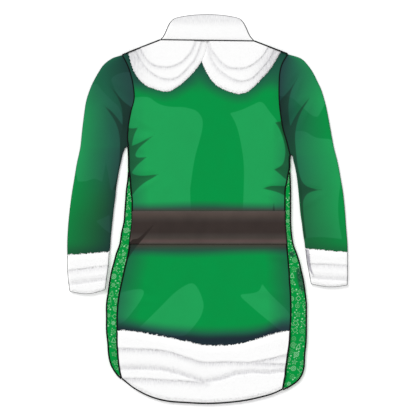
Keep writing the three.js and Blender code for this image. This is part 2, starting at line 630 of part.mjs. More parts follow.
function sleeve(side) {
  const rows = SLEEVES[side];
  const outer = (v) => [column(rows, 'outerX', v), column(rows, 'outerY', v)];
  const inner = (v) => [column(rows, 'innerX', v), column(rows, 'innerY', v)];
  const down = rows.map((row, index) => index / (rows.length - 1));
  const plan = patch(armholeEdge(side), straight(outer(1), inner(1)), outer, inner, sleeveAcross, down);
  const outward = side === 'left' ? -HALF_GAP : HALF_GAP;
  const clear = plan.map((line, row) => line.map(([x, y]) => {
    const sideways = row === 0 ? outward : 0;
    const up = row === plan.length - 1 ? HALF_GAP : 0;
    return [x + sideways, y + up];
  }));
  const leftToRight = side === 'left' ? clear : clear.map((line) => [...line].reverse());
  const outerFace = tubeFace(leftToRight, frontUnder, backTop, 0);
  const innerFace = tubeFace(leftToRight, frontTop, backUnder, CLOTH);
  return wall(outerFace, innerFace, true);
}

costume.add(mesh('sleeve_left', sleeve('left'), UPPER_GREEN, VELOUR_ROUGHNESS));
costume.add(mesh('sleeve_right', sleeve('right'), UPPER_GREEN, VELOUR_ROUGHNESS));

// Plush tubes: cuffs and stand collar, with thick walls round a thin hollow
const plushAcross = shares([1, 1, 1, 1, 1, 1, 1, 1, 1]);

function plushTube(plan, top) {
  const outerFace = tubeFace(plan, () => 0, top, 0);
  const innerFace = tubeFace(plan, () => PLUSH_UNDER_WALL, () => BACK_UNDER, PLUSH_UNDER_WALL);
  return wall(outerFace, innerFace, true);
}

function cuff(side) {
  const rows = CUFFS[side];
  const stations = shares([1, 1, 1]);
  const plan = stations.map((share, index) => plushAcross.map((u) => {
    const from = [column(rows, 'outerX', share), column(rows, 'outerY', share)];
    const to = [column(rows, 'innerX', share), column(rows, 'innerY', share)];
    const [x, y] = straight(from, to)(u);
    const clear = index === 0 ? HALF_GAP : 0;
    return [x, y - clear - column(rows, 'bulge', share) * Math.sin(Math.PI * u)];
  }));
  return plushTube(plan, () => CUFF_TOP);
}

costume.add(mesh('cuff_left', cuff('left'), PLUSH_WHITE, PLUSH_ROUGHNESS));
costume.add(mesh('cuff_right', cuff('right'), PLUSH_WHITE, PLUSH_ROUGHNESS));

function standCollar() {
  const stations = shares([1, 1, 1, 2]);
  const plan = stations.map((share, index) => plushAcross.map((u) => {
    const from = [column(STAND, 'leftX', share), column(STAND, 'leftY', share)];
    const to = [column(STAND, 'rightX', share), column(STAND, 'rightY', share)];
    const [x, y] = straight(from, to)(u);
    const clear = index === stations.length - 1 ? SEAM_GAP : 0;
    return [x, y + clear + column(STAND, 'bow', share) * Math.sin(Math.PI * u) ** 0.6];
  }));
  return plushTube(plan, () => STAND_TOP);
}

costume.add(mesh('stand_collar', standCollar(), PLUSH_WHITE, PLUSH_ROUGHNESS));

// Collar lobes: rays from the neck corner, with two smaller tiers of plush stepped up towards it
const LOBE_STATIONS = [
  { from: 'centre', offset: 0.04, step: 2 },
  { from: 'centre', offset: 0.35, step: 2 },
  { from: 'innerTier', offset: -0.02, step: 2 },
  { from: 'innerTier', offset: 0.02, step: 1 },
  { from: 'outerTier', offset: -0.02, step: 1 },
  { from: 'outerTier', offset: 0.02, step: 0 },
  { from: 'rim', offset: -0.03, step: 0 },
  { from: 'rim', offset: 0, step: -1 },
];

function lobe(side) {
  const { centre, rays } = LOBES[side];
  const face = (height) => LOBE_STATIONS.map((station) => rays.map((ray) => {
    const share = { centre: 0, rim: 1, ...ray }[station.from] + station.offset;
    return [lerp(centre.x, ray.x, share), lerp(centre.y, ray.y, share), height(station)];
  }));
  const top = (station) => LOBE_UNDER + LOBE_RIM + LOBE_TIER_STEP * station.step;
  return wall(face(top), face(() => LOBE_UNDER), false);
}

function frontLobe(side) {
  const { centre, rays } = LOBES[side];
  const face = (height) => [0.04, 0.5, 1].map((share) => rays.map((ray) => {
    const reach = share * FRONT_LOBE_SHARE;
    return [lerp(centre.x, ray.x, reach), lerp(centre.y, ray.y, reach), height];
  }));
  return wall(face(FRONT_LOBE_THICK), face(0), false);
}

for (const side of ['left', 'right']) {
  costume.add(mesh(`collar_lobe_${side}`, lobe(side), PLUSH_WHITE, PLUSH_ROUGHNESS));
  costume.add(mesh(`front_lobe_${side}`, frontLobe(side), PLUSH_WHITE, PLUSH_ROUGHNESS));
}

export default costume;
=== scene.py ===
import math

import bpy
import numpy as np
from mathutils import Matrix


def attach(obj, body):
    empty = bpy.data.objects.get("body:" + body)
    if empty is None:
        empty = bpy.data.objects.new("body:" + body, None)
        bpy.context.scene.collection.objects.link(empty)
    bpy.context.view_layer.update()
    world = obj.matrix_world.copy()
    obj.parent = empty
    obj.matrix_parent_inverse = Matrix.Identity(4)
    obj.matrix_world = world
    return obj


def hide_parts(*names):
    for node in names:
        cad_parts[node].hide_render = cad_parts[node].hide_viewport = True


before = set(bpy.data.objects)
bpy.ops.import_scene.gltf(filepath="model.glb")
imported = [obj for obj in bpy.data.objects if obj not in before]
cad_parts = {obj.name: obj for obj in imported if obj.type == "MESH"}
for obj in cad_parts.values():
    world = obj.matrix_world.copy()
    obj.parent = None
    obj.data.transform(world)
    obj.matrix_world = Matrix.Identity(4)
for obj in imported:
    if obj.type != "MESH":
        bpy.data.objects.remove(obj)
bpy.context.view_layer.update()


# The surface, the light and the camera
# The costume lies with its back up on a white board. The camera looks straight down at the middle of it
# through a long lens, and soft studio light falls from all round and a little more from the upper left.
VIEW_WIDTH = 0.9984
LENS_MM = 150
SENSOR_MM = 36
CAMERA_AIM = (0.0012, 0.0024, 0.008)
BOARD_SIZE = 8.0
ROUND_LIGHT = 0.62
KEY_LIGHT = 0.38
KEY_LEAN = math.radians(42)
KEY_TURN = math.radians(35)
KEY_SOFTNESS = math.radians(30)
BOARD_DROP = 0.0004
BOARD_COLOUR = (0.985, 0.985, 0.985, 1)
BOARD_GLOW = 0.14

camera_data = bpy.data.cameras.new("overhead_camera")
camera_data.lens = LENS_MM
camera_data.sensor_width = SENSOR_MM
camera = bpy.data.objects.new("overhead_camera", camera_data)
camera.location = (CAMERA_AIM[0], CAMERA_AIM[1], CAMERA_AIM[2] + VIEW_WIDTH * LENS_MM / SENSOR_MM)
bpy.context.scene.collection.objects.link(camera)
bpy.context.scene.camera = camera
bpy.context.scene.view_settings.view_transform = "Standard"

world = bpy.data.worlds.new("studio")
world.use_nodes = True
world.node_tree.nodes["Background"].inputs["Color"].default_value = (1, 1, 1, 1)
world.node_tree.nodes["Background"].inputs["Strength"].default_value = ROUND_LIGHT
bpy.context.scene.world = world

key_data = bpy.data.lights.new("key_light", "SUN")
key_data.energy = KEY_LIGHT * math.pi / math.cos(KEY_LEAN)
key_data.angle = KEY_SOFTNESS
key = bpy.data.objects.new("key_light", key_data)
key.rotation_euler = (-KEY_LEAN, 0, KEY_TURN)
bpy.context.scene.collection.objects.link(key)

board_data = bpy.data.meshes.new("board")
half_board = BOARD_SIZE / 2
board_corners = [(x * half_board, y * half_board, 0) for x, y in ((-1, -1), (1, -1), (1, 1), (-1, 1))]
board_data.from_pydata(board_corners, [], [(0, 1, 2, 3)])
board = bpy.data.objects.new("board", board_data)
board.location = (0, 0, -BOARD_DROP)
bpy.context.scene.collection.objects.link(board)
board_paint = bpy.data.materials.new("board_paint")
board_paint.use_nodes = True
board_shader = board_paint.node_tree.nodes["Principled BSDF"]
board_shader.inputs["Base Color"].default_value = BOARD_COLOUR
board_shader.inputs["Roughness"].default_value = 1.0
board_shader.inputs["Specular IOR Level"].default_value = 0.0
board_shader.inputs["Emission Color"].default_value = (1, 1, 1, 1)
board_shader.inputs["Emission Strength"].default_value = BOARD_GLOW
board_data.materials.append(board_paint)


# Back panel
# One piece of green stretch velour from the shoulders to the hem band. Broad patches of painted sheen lie on
# it in a lighter green, and it pulls into sharp creases beside both armholes and above the belt, which get
# painted shade.
MM = 0.001
CLOTH = 1.5
SEAM_GAP = 0.3
HALF_GAP = SEAM_GAP / 2
BACK_TOP = 6.6
FRONT_LOBE_THICK = 3.0
FRONT_BELT_THICK = 2.0
BELT_HIGH = -5
BELT_LOW = -84
BAND_START = -292
LOWEST_CREASE = -2.6
PRESSED_CREASE = 0.9
SEAM_READINGS = 800
# Armholes from the shoulder to the armpit: left x, left y, right x, right y
ARMHOLES = [
    (-205, 370, 193, 372),
    (-194, 350, 180, 350),
    (-186, 329, 174, 329),
    (-179, 300, 172, 300),
    (-176, 266, 172, 264),
    (-184, 233, 175, 230),
    (-190, 199, 181, 194),
    (-192, 170, 190, 163),
    (-189.5, 150, 198, 131),
]
# Side seams from the armpit to the hem: y, x
SEAM_LEFT = [
    (150, -189.5), (120, -188), (98, -188), (74, -186), (48, -184), (22, -181), (-5, -181), (-31, -181),
    (-58, -184), (-84, -187), (-106, -190), (-128, -195), (-150, -200), (-172, -205), (-200, -211),
    (-228, -215), (-258, -217), (-292, -217), (-322, -217), (-350, -215), (-372, -213), (-386, -211),
    (-408, -206),
]
SEAM_RIGHT = [
    (131, 198), (120, 196), (98, 196), (74, 192), (48, 187), (22, 186), (-5, 186), (-31, 186), (-58, 188),
    (-84, 190), (-106, 192), (-128, 194), (-150, 196), (-172, 197), (-200, 199), (-228, 200), (-258, 200),
    (-292, 198), (-322, 196), (-350, 192), (-372, 189), (-386, 187), (-400, 186), (-415, 183), (-434, 180),
]
NECK_LEFT = (-113, 406)
NECK_RIGHT = (112, 403)
# The hem band's upper edge below a straight line, and the curved hem: drop, x, y
HEM_CURVES = [
    (0, -206, -408), (3, -175, -432), (10, -138, -451), (18, -98, -462), (27, -50, -466), (36, -2, -468),
    (37, 44, -466), (33, 88, -461), (23, 126, -453), (10, 155, -445), (0, 180, -434),
]
# Creases, from base to tip: base x, base y, tip x, tip y, half width, depth
CREASES = [
    (-190, 196, -125, 181, 15, 2.4), (-186, 226, -168, 196, 12, 1.8), (-190, 140, -147, 125, 13, 2.2),
    (-188, 62, -119, 84, 15, 2.4), (178, 176, 163, 207, 11, 1.8), (190, 84, 160, 96, 11, 2),
    (187, 42, 132, 49, 13, 2.2), (-183, 256, -235, 298, 15, 2.4), (-200, 180, -249, 248, 17, 2.4),
    (180, 264, 220, 323, 13, 2.4), (194, 200, 245, 266, 14, 2.4), (222, 34, 279, 46, 15, 2.4),
    (197, -150, 150, -118, 14, 1.8), (-210, -180, -120, -215, 18, 2), (198, -240, 110, -205, 18, 2),
]
# Broad swells: x, y, half length, half width, turn, height
SWELLS = [
    (-95, 110, 130, 55, 85, 2.4), (120, 110, 130, 45, 95, 2.2), (-110, -235, 110, 34, 55, 2.4),
    (130, -240, 80, 34, 120, 2.4), (10, -200, 90, 30, 85, 1.4), (-265, 170, 120, 26, 70, 2),
    (275, 120, 120, 26, 108, 2), (-275, -20, 70, 30, 80, 1.6), (275, -20, 70, 30, 100, 1.6),
]
# Outlines of the patches of painted sheen, in a lighter green: x, y
SHINE_PATCHES = [
    [(-184, 266), (-172, 268), (-151, 270), (-137, 267), (-128, 259), (-113, 250), (-90, 245), (-59, 245),
     (-41, 241), (-28, 237), (-18, 228), (-11, 214), (-12, 191), (-20, 161), (-29, 130), (-35, 98),
     (-40, 60), (-42, 46), (-40, 0), (-40, -10), (-191, -10), (-200, 142)],
    [(54, 230), (80, 237), (104, 248), (120, 256), (128, 258), (137, 252), (150, 232), (169, 210),
     (184, 166), (198, 94), (193, -10), (85, -10), (85, 0), (87, 46), (88, 91), (86, 122), (83, 142),
     (77, 175), (68, 206)],
    [(-212, -201), (-205, -200), (-186, -195), (-167, -192), (-157, -193), (-152, -198), (-154, -207),
     (-163, -224), (-180, -247), (-199, -270), (-212, -276), (-218, -247)],
    [(-164, -285), (-137, -259), (-114, -236), (-80, -201), (-57, -185), (-42, -178), (-32, -179),
     (-23, -190), (-15, -207), (-9, -227), (-10, -241), (-16, -259), (-28, -276), (-42, -293),
     (-57, -307), (-105, -302)],
    [(79, -209), (80, -205), (90, -204), (110, -202), (122, -198), (128, -190), (131, -179), (145, -198),
     (168, -221), (200, -251), (202, -290), (174, -293), (156, -276), (131, -256), (102, -231), (84, -215)],
    [(-286, 294), (-277, 298), (-269, 301), (-264, 300), (-257, 289), (-248, 279), (-238, 269),
     (-227, 258), (-214, 248), (-202, 220), (-204, 201), (-210, 162), (-210, 139), (-212, 109),
     (-220, 66), (-226, 47), (-230, 44), (-233, 48), (-239, 89), (-244, 111), (-248, 89), (-253, 65),
     (-262, 70), (-270, 73), (-283, 70), (-293, 66), (-312, 66), (-318, 104), (-308, 180), (-300, 240),
     (-294, 273)],
    [(194, 375), (231, 366), (261, 326), (286, 259), (281, 250), (273, 235), (266, 222), (260, 221),
     (249, 225), (237, 236), (221, 251), (200, 270), (172, 271), (166, 320), (182, 363)],
    [(209, 186), (224, 188), (237, 185), (255, 173), (270, 169), (303, 168), (313, 128), (322, 88),
     (320, 63), (315, 33), (313, -1), (316, -38), (323, -72), (286, -68), (261, -67), (237, -70),
     (231, -16), (229, 17), (224, 72), (214, 121), (210, 167)],
    [(-268, -29), (-252, -22), (-235, -14), (-234, -58), (-246, -50)],
    [(-231, 308), (-230, 314), (-224, 320), (-210, 326), (-196, 329), (-180, 327), (-165, 281),
     (-175, 241), (-197, 254), (-210, 267), (-220, 281), (-227, 298)],
]
# Outlines of the sharp creases, which are pressed in and get painted shade: x, y
CREASE_SHAPES = [
    [(-192, 195), (-177, 193), (-166, 197), (-176, 180), (-182, 151), (-159, 161), (-123, 181),
     (-147, 162), (-162, 149), (-171, 138), (-174, 127), (-167, 123), (-145, 125), (-159, 114),
     (-171, 103), (-182, 87), (-177, 83), (-164, 80), (-147, 80), (-116, 84), (-134, 73), (-149, 65),
     (-164, 53), (-174, 42), (-179, 34), (-189, 34), (-196, 110)],
    [(-235, 297), (-220, 281), (-210, 267), (-197, 254), (-177, 241), (-169, 205), (-185, 164),
     (-192, 149), (-202, 127), (-210, 96), (-215, 71), (-219, 46), (-227, 46), (-219, 68), (-214, 96),
     (-211, 116), (-210, 139), (-210, 162), (-212, 180), (-216, 197), (-225, 216), (-238, 235),
     (-249, 249), (-235, 239), (-224, 228), (-215, 217), (-204, 201), (-204, 220), (-205, 238),
     (-209, 253), (-214, 265), (-224, 281)],
    [(221, 323), (206, 299), (194, 282), (177, 265), (163, 238), (175, 198), (200, 128), (205, 124),
     (212, 97), (220, 45), (226, -16), (232, -71), (237, -70), (232, -32), (229, -1), (229, 17),
     (234, 30), (243, 39), (258, 44), (278, 46), (258, 48), (241, 53), (231, 60), (224, 72), (218, 91),
     (214, 121), (212, 143), (210, 167), (211, 186), (215, 207), (224, 232), (237, 253), (246, 268),
     (234, 255), (221, 238), (209, 219), (199, 199), (197, 210), (194, 235), (195, 259), (200, 281),
     (208, 300)],
    [(182, 212), (173, 210), (162, 208), (168, 201), (177, 183), (183, 164), (187, 143), (186, 124),
     (182, 109), (172, 100), (160, 95), (175, 83), (191, 68), (203, 75), (200, 128)],
    [(194, 55), (163, 56), (148, 55), (132, 49), (151, 45), (166, 41), (179, 36), (194, 26)],
    [(159, 17), (156, -5), (162, -5)],
    [(-183, -72), (-169, -72), (-160, -66), (-150, -56), (-138, -44), (-122, -30), (-136, -49), (-150, -66),
     (-160, -78), (-172, -92), (-184, -109), (-189, -119), (-196, -100)],
]


def along(rows, share):
    """Smooth line through evenly spaced rows: a cubic of each point's four nearest rows."""
    table = np.asarray(rows, float)
    ends = np.vstack([2 * table[0] - table[1], table, 2 * table[-1] - table[-2]])
    place = np.clip(share, 0, 1) * (len(table) - 1)
    row = np.minimum(place.astype(int), len(table) - 2)
    t = (place - row)[..., None]
    a, b, c, d = (ends[row + step] for step in range(4))
    return 0.5 * (2 * b + (c - a) * t + (2 * a - 5 * b + 4 * c - d) * t**2 + (3 * b - a - 3 * c + d) * t**3)


def soft_step(value, low, high):
    """Rises from 0 at low to 1 at high as three squares less two cubes of the share between them."""
    share = np.clip((value - low) / (high - low), 0, 1)
    return share * share * (3 - 2 * share)


def soft_fall(value, low, high):
    """Falls from 1 at low to 0 at high, as 1 less the soft step."""
    return 1 - soft_step(value, low, high)


def plateau(value, low, high, near, far):
    """1 from low to high widened by near, and 0 beyond them widened by far, with soft flanks between."""
    return soft_step(value, low - far, low - near) * soft_fall(value, high + near, high + far)


def bell(value, centre, half_width):
    """Bell curve: the exponential of less the square of the distance from the centre in half widths."""
    return np.exp(-(((value - centre) / half_width) ** 2))


def seam_x(side, y):
    """Where a side seam runs at a height: a smooth line through its table, read back at y."""
    line = along(SEAM_LEFT if side == "left" else SEAM_RIGHT, np.linspace(0, 1, SEAM_READINGS))
    return np.interp(-y, -line[:, 0], line[:, 1])


def armhole(side, share):
    """Points on an armhole seam from the shoulder, at 0, to the armpit, at 1."""
    first = 0 if side == "left" else 2
    return along(ARMHOLES, share)[..., first : first + 2]


def inside_distance(x, y, outline):
    """Distance to a closed outline's nearest side, positive inside, found by counting level crossings."""
    starts = np.asarray(outline, float)
    run = np.roll(starts, -1, 0) - starts
    over_x = x[..., None] - starts[:, 0]
    over_y = y[..., None] - starts[:, 1]
    share = np.clip((over_x * run[:, 0] + over_y * run[:, 1]) / (run**2).sum(1), 0, 1)
    nearest = np.hypot(over_x - share * run[:, 0], over_y - share * run[:, 1]).min(-1)
    level = (over_y < 0) != (over_y < run[:, 1])
    steep = np.where(np.abs(run[:, 1]) < 1e-9, 1e-9, run[:, 1])
    crossings = (level & (over_x < run[:, 0] * over_y / steep)).sum(-1)
    return np.where(crossings % 2 == 1, nearest, -nearest)


def rounded(outline):
    """The outline with blunt corners cut twice, a quarter of the way along each side; sharp tips stay."""
    points = np.asarray(outline, float)
    for _ in range(2):
        back = np.roll(points, 1, 0) - points
        ahead = np.roll(points, -1, 0) - points
        cosine = (back * ahead).sum(1) / np.maximum(np.hypot(*back.T) * np.hypot(*ahead.T), 1e-9)
        share = np.where(cosine > -0.2, 0.0, 0.25)[:, None]
        points = np.stack([points + share * back, points + share * ahead], 1).reshape(-1, 2)
        points = points[np.hypot(*(points - np.roll(points, 1, 0)).T) > 0.01]
    return points


def best_of(x, y, outlines):
    """The largest inside distance to any of several outlines, in millimetres."""
    return np.max([inside_distance(x, y, rounded(outline)) for outline in outlines], 0)


def relief(x, y):
    """Swells as stretched bells, creases as tapering troughs between low flanks, and flat under the trims."""
    lift = np.zeros_like(x)
    for centre_x, centre_y, half_length, half_width, degrees, height in SWELLS:
        turn = math.radians(degrees)
        lengthwise = ((x - centre_x) * math.cos(turn) + (y - centre_y) * math.sin(turn)) / half_length
        sideways = ((y - centre_y) * math.cos(turn) - (x - centre_x) * math.sin(turn)) / half_width
        lift = lift + height * np.exp(-(lengthwise**2) - sideways**2)
    for base_x, base_y, tip_x, tip_y, width, depth in CREASES:
        run_x, run_y = tip_x - base_x, tip_y - base_y
        length = math.hypot(run_x, run_y)
        reach = ((x - base_x) * run_x + (y - base_y) * run_y) / length**2
        aside = np.abs((x - base_x) * run_y - (y - base_y) * run_x) / length
        across = aside / (width * (1 - 0.6 * np.clip(reach, 0, 1)))
        fade = soft_step(reach, -0.3, 0.05) * soft_fall(reach, 0.6, 1.1)
        flanks = 0.4 * np.exp(-2 * (across - 1.9) ** 2)
        lift = lift + depth * fade * (flanks - np.exp(-(across**2)))
    off_lobes = 1 - soft_step(y, 262, 300) * soft_fall(np.abs(x), 185, 215)
    off_belt = 1 - plateau(y, BELT_LOW, BELT_HIGH, 6, 26) * soft_fall(np.abs(x), 186, 205)
    off_band = soft_step(y, BAND_START - 40, BAND_START + 40)
    return np.maximum(lift, LOWEST_CREASE) * off_lobes * off_belt * off_band


def front_under(x, y):
    """Height of the face on the surface: it rises over the lobes and the belt that are sewn to the front."""
    over_lobes = soft_step(y, 238, 278) * soft_fall(np.abs(x), 168, 205)
    over_belt = plateau(y, BELT_LOW, BELT_HIGH, 4, 24) * soft_fall(np.abs(x), 191, 203)
    return np.maximum((FRONT_LOBE_THICK + SEAM_GAP) * over_lobes, (FRONT_BELT_THICK + SEAM_GAP) * over_belt)


def front_top(x, y):
    """The front cloth's upper face, one cloth above its lower one."""
    return front_under(x, y) + CLOTH


def back_top(x, y):
    """The back cloth's upper face: its relief, never lower than just above the front."""
    return np.maximum(BACK_TOP + relief(x, y), front_top(x, y) + SEAM_GAP + CLOTH)


def patch(top, bottom, left, right, across, down):
    """Patch between four edges: the blends of facing edges, less the blend of the four corners."""
    u = across[None, :, None]
    v = down[:, None, None]
    rows = (1 - v) * top(across)[None] + v * bottom(across)[None]
    sides = (1 - u) * left(down)[:, None] + u * right(down)[:, None]
    ends = np.array([0.0, 1.0])
    high, low = top(ends), bottom(ends)
    corners = (1 - v) * ((1 - u) * high[0] + u * high[1]) + v * ((1 - u) * low[0] + u * low[1])
    return rows + sides - corners


def straight(start, end):
    """A straight edge between two points, read at a share from 0 to 1."""
    first, last = np.array([start, end], float)
    return lambda share: (1 - share[:, None]) * first + share[:, None] * last


def even(height):
    """One height everywhere, as a function of x and y."""
    return lambda x, y: 0 * x + height


def raise_plan(plan, height):
    """A flat plan with a height on every point, which a function gives from its x and y."""
    return np.dstack([plan, height(plan[..., 0], plan[..., 1])])


def build_mesh(name, points, faces, fields=None):
    """A smooth mesh from points in millimetres, faces of equal corner count, and each field's values."""
    data = bpy.data.meshes.new(name)
    data.vertices.add(len(points))
    data.vertices.foreach_set("co", (np.asarray(points) * MM).astype(np.float32).ravel())
    data.loops.add(faces.size)
    data.loops.foreach_set("vertex_index", faces.astype(np.int32).ravel())
    data.polygons.add(len(faces))
    data.polygons.foreach_set("loop_start", np.arange(0, faces.size, faces.shape[1], dtype=np.int32))
    data.polygons.foreach_set("use_smooth", np.ones(len(faces), bool))
    for field, values in (fields or {}).items():
        kind, part = ("FLOAT_VECTOR", "vector") if values.ndim == 2 else ("FLOAT", "value")
        attribute = data.attributes.new(field, kind, "POINT")
        attribute.data.foreach_set(part, values.astype(np.float32).ravel())
    data.update(calc_edges=True)
    data.validate()
    piece = bpy.data.objects.new(name, data)
    bpy.context.scene.collection.objects.link(piece)
    return piece


def wall(name, outer, inner, ring=False, fields=None):
    """Closed wall between an outer and an inner grid of points: four rims close it, or two on a ring."""
    rows, columns = outer.shape[:2]
    number = np.arange(rows * columns).reshape(rows, columns)
    if ring:
        number = np.hstack([number, number[:, :1]])
    skin = np.stack([number[:-1, :-1], number[1:, :-1], number[1:, 1:], number[:-1, 1:]], -1).reshape(-1, 4)
    under = rows * columns
    high = np.stack([number[0, :-1], number[0, 1:], number[0, 1:] + under, number[0, :-1] + under], -1)
    low = np.stack([number[-1, 1:], number[-1, :-1], number[-1, :-1] + under, number[-1, 1:] + under], -1)
    faces = [skin, skin[:, ::-1] + under, high, low]
    if not ring:
        left, right = number[:, 0], number[:, -1]
        faces.append(np.stack([left[1:], left[:-1], left[:-1] + under, left[1:] + under], -1))
        faces.append(np.stack([right[:-1], right[1:], right[1:] + under, right[:-1] + under], -1))
    points = np.vstack([outer.reshape(-1, 3), inner.reshape(-1, 3)])
    values = fields(points[:, 0], points[:, 1]) if fields else None
    return build_mesh(name, points, np.vstack(faces), values)


def linear(red, green, blue):
    """A screen colour from 0 to 255 as linear light, by the usual screen curve."""
    screen = np.array([red, green, blue]) / 255
    light = np.where(screen <= 0.04045, screen / 12.92, ((screen + 0.055) / 1.055) ** 2.4)
    return (*light.tolist(), 1)


def add_node(tree, kind, sockets=None, **options):
    """A shader node with its options set, and each named socket given a value or joined to another socket."""
    made = tree.nodes.new(kind)
    for option, value in options.items():
        setattr(made, option, value)
    for socket, value in (sockets or {}).items():
        if isinstance(value, bpy.types.NodeSocket):
            tree.links.new(value, made.inputs[socket])
        else:
            made.inputs[socket].default_value = value
    return made


def spread(tree, value, low, high, start=0.0, end=1.0, **options):
    """A value between two ends spread over another pair of ends, as a socket."""
    sockets = {"Value": value, "From Min": low, "From Max": high, "To Min": start, "To Max": end}
    return add_node(tree, "ShaderNodeMapRange", sockets, **options).outputs["Result"]


def ramp(tree, value, low, high):
    """The share of a value between two ends, smoothed, as a socket."""
    return spread(tree, value, low, high, interpolation_type="SMOOTHSTEP")


def sum_node(tree, operation, *values):
    """One sum of numbers or sockets, as a socket."""
    return add_node(tree, "ShaderNodeMath", dict(enumerate(values)), operation=operation).outputs[0]


def noise_node(tree, place, scale, detail):
    """Cloudy noise at a place, as a socket."""
    sockets = {"Vector": place, "Scale": scale, "Detail": detail}
    return add_node(tree, "ShaderNodeTexNoise", sockets).outputs["Fac"]


def toned(tree, colour, value):
    """A colour made lighter or darker by a value, as a socket."""
    return add_node(tree, "ShaderNodeHueSaturation", {"Value": value, "Color": colour}).outputs["Color"]


def blend(tree, share, first, second):
    """Two colours mixed by a share, as a socket."""
    return add_node(tree, "ShaderNodeMix", {0: share, 6: first, 7: second}, data_type="RGBA").outputs[2]


def field_node(tree, name, output="Fac"):
    """The value of a field that the mesh holds, as a socket."""
    return add_node(tree, "ShaderNodeAttribute", attribute_name=name).outputs[output]


def object_place(tree):
    """The place on the piece in metres, as a socket."""
    return add_node(tree, "ShaderNodeTexCoord").outputs["Object"]


def finish_shader(tree, shader, colour, height, strength, distance, looks):
    """A shader's colour, its bump from a height, and its other looks by name, each a number or a socket."""
    bump = add_node(tree, "ShaderNodeBump", {"Height": height, "Strength": strength, "Distance": distance})
    for look, value in {"Base Color": colour, "Normal": bump.outputs["Normal"], **looks}.items():
        if isinstance(value, bpy.types.NodeSocket):
            tree.links.new(value, shader.inputs[look])
        else:
            shader.inputs[look].default_value = value


def new_material(name):
    """A node material with its shader, and the tree it stands in."""
    material = bpy.data.materials.new(name)
    material.use_nodes = True
    return material, material.node_tree, material.node_tree.nodes["Principled BSDF"]


# The nap of the velour, which the plain and the printed cloth share: a colour comes back a little mottled,
# with a roughness from broad brushed clouds and a height from the fine pile
nap_group = bpy.data.node_groups.new("velour_nap", "ShaderNodeTree")
nap_group.interface.new_socket("Color", in_out="INPUT", socket_type="NodeSocketColor")
nap_group.interface.new_socket("Color", in_out="OUTPUT", socket_type="NodeSocketColor")
nap_group.interface.new_socket("Roughness", in_out="OUTPUT", socket_type="NodeSocketFloat")
nap_group.interface.new_socket("Height", in_out="OUTPUT", socket_type="NodeSocketFloat")
nap_in = add_node(nap_group, "NodeGroupInput")
nap_place = object_place(nap_group)
nap_fine = noise_node(nap_group, nap_place, 900.0, 2.0)
nap_broad = noise_node(nap_group, nap_place, 26.0, 3.0)
nap_sum = sum_node(nap_group, "MULTIPLY_ADD", nap_broad, 0.4, sum_node(nap_group, "MULTIPLY", nap_fine, 0.6))
nap_value = spread(nap_group, nap_sum, 0.3, 0.7, 0.95, 1.05)
nap_colour = toned(nap_group, nap_in.outputs["Color"], nap_value)
nap_rough = spread(nap_group, nap_broad, 0.3, 0.7, 0.8, 0.92)
add_node(nap_group, "NodeGroupOutput", {"Color": nap_colour, "Roughness": nap_rough, "Height": nap_fine})

# The cloth's mid green, then painted light: the lighter green of painted sheen, three tones of painted shade,
# painted shade in creases, a faint painted sheen over shade, and a brown painted shade beside the belt
MID_GREEN = linear(2, 147, 68)
SHINE_GREEN = linear(30, 161, 86)
PAINTED_SHADE_GREEN = linear(28, 92, 56)
PAINTED_SHADE_TEAL = linear(30, 94, 70)
PAINTED_SHADE_DEEP = linear(30, 45, 53)
CREASE_PAINTED_SHADE = linear(27, 45, 39)
CREASE_SHADE_MOST = 0.64
DEEP_START = 0.7
PAINTED_SHEEN_IN_SHADE = linear(128, 196, 198)
PAINTED_SHEEN_IN_SHADE_SHARE = 0.032
BROWN_PAINTED_SHADE = linear(72, 58, 54)


def finish_velour(tree, shader, colour):
    """Velour on a shader: the nap group's colour, roughness and height, and a faint sheen."""
    nap = add_node(tree, "ShaderNodeGroup", {"Color": colour}, node_tree=nap_group).outputs
    looks = {
        "Roughness": nap["Roughness"],
        "Specular IOR Level": 0.06,
        "Sheen Weight": 0.02,
        "Sheen Roughness": 0.5,
    }
    finish_shader(tree, shader, nap["Color"], nap["Height"], 0.25, 0.0004, looks)


def add_painted_shade(tree, colour, dusk, slate):
    """A colour taken by painted shade to a middle shade, and from DEEP_START on to a deep one, as a socket.
    """
    middle = blend(tree, slate, PAINTED_SHADE_GREEN, PAINTED_SHADE_TEAL)
    first = blend(tree, spread(tree, dusk, 0.0, DEEP_START), colour, middle)
    return blend(tree, spread(tree, dusk, DEEP_START, 1.0), first, PAINTED_SHADE_DEEP)


velour, velour_tree, velour_shader = new_material("green_velour")
# Painted light on the velour: painted sheen in lighter patches, painted shade from the fields, a faint
# painted sheen where both meet, brown painted shade beside the belt, and painted shade in the creases
shine_share = ramp(velour_tree, field_node(velour_tree, "shine_mm"), -1.2, 1.2)
crease_shade_share = spread(velour_tree, field_node(velour_tree, "crease_mm"), -1.0, 1.2, 0.0, CREASE_SHADE_MOST)
painted_shade_share = field_node(velour_tree, "dusk")
shone = blend(velour_tree, shine_share, MID_GREEN, SHINE_GREEN)
shaded = add_painted_shade(velour_tree, shone, painted_shade_share, field_node(velour_tree, "slate"))
# Where painted sheen lies in painted shade, a faint bluish painted sheen is laid over it
sheen_and_shade = sum_node(velour_tree, "MULTIPLY", shine_share, painted_shade_share)
with_sheen_in_shade = blend(velour_tree, sum_node(velour_tree, "MULTIPLY", sheen_and_shade, PAINTED_SHEEN_IN_SHADE_SHARE), shaded, PAINTED_SHEEN_IN_SHADE)
# Brown painted shade on the cloth beside the belt
with_brown_shade = blend(velour_tree, field_node(velour_tree, "warm"), with_sheen_in_shade, BROWN_PAINTED_SHADE)
# Painted shade in the creases, over everything else
finish_velour(velour_tree, velour_shader, blend(velour_tree, crease_shade_share, with_brown_shade, CREASE_PAINTED_SHADE))

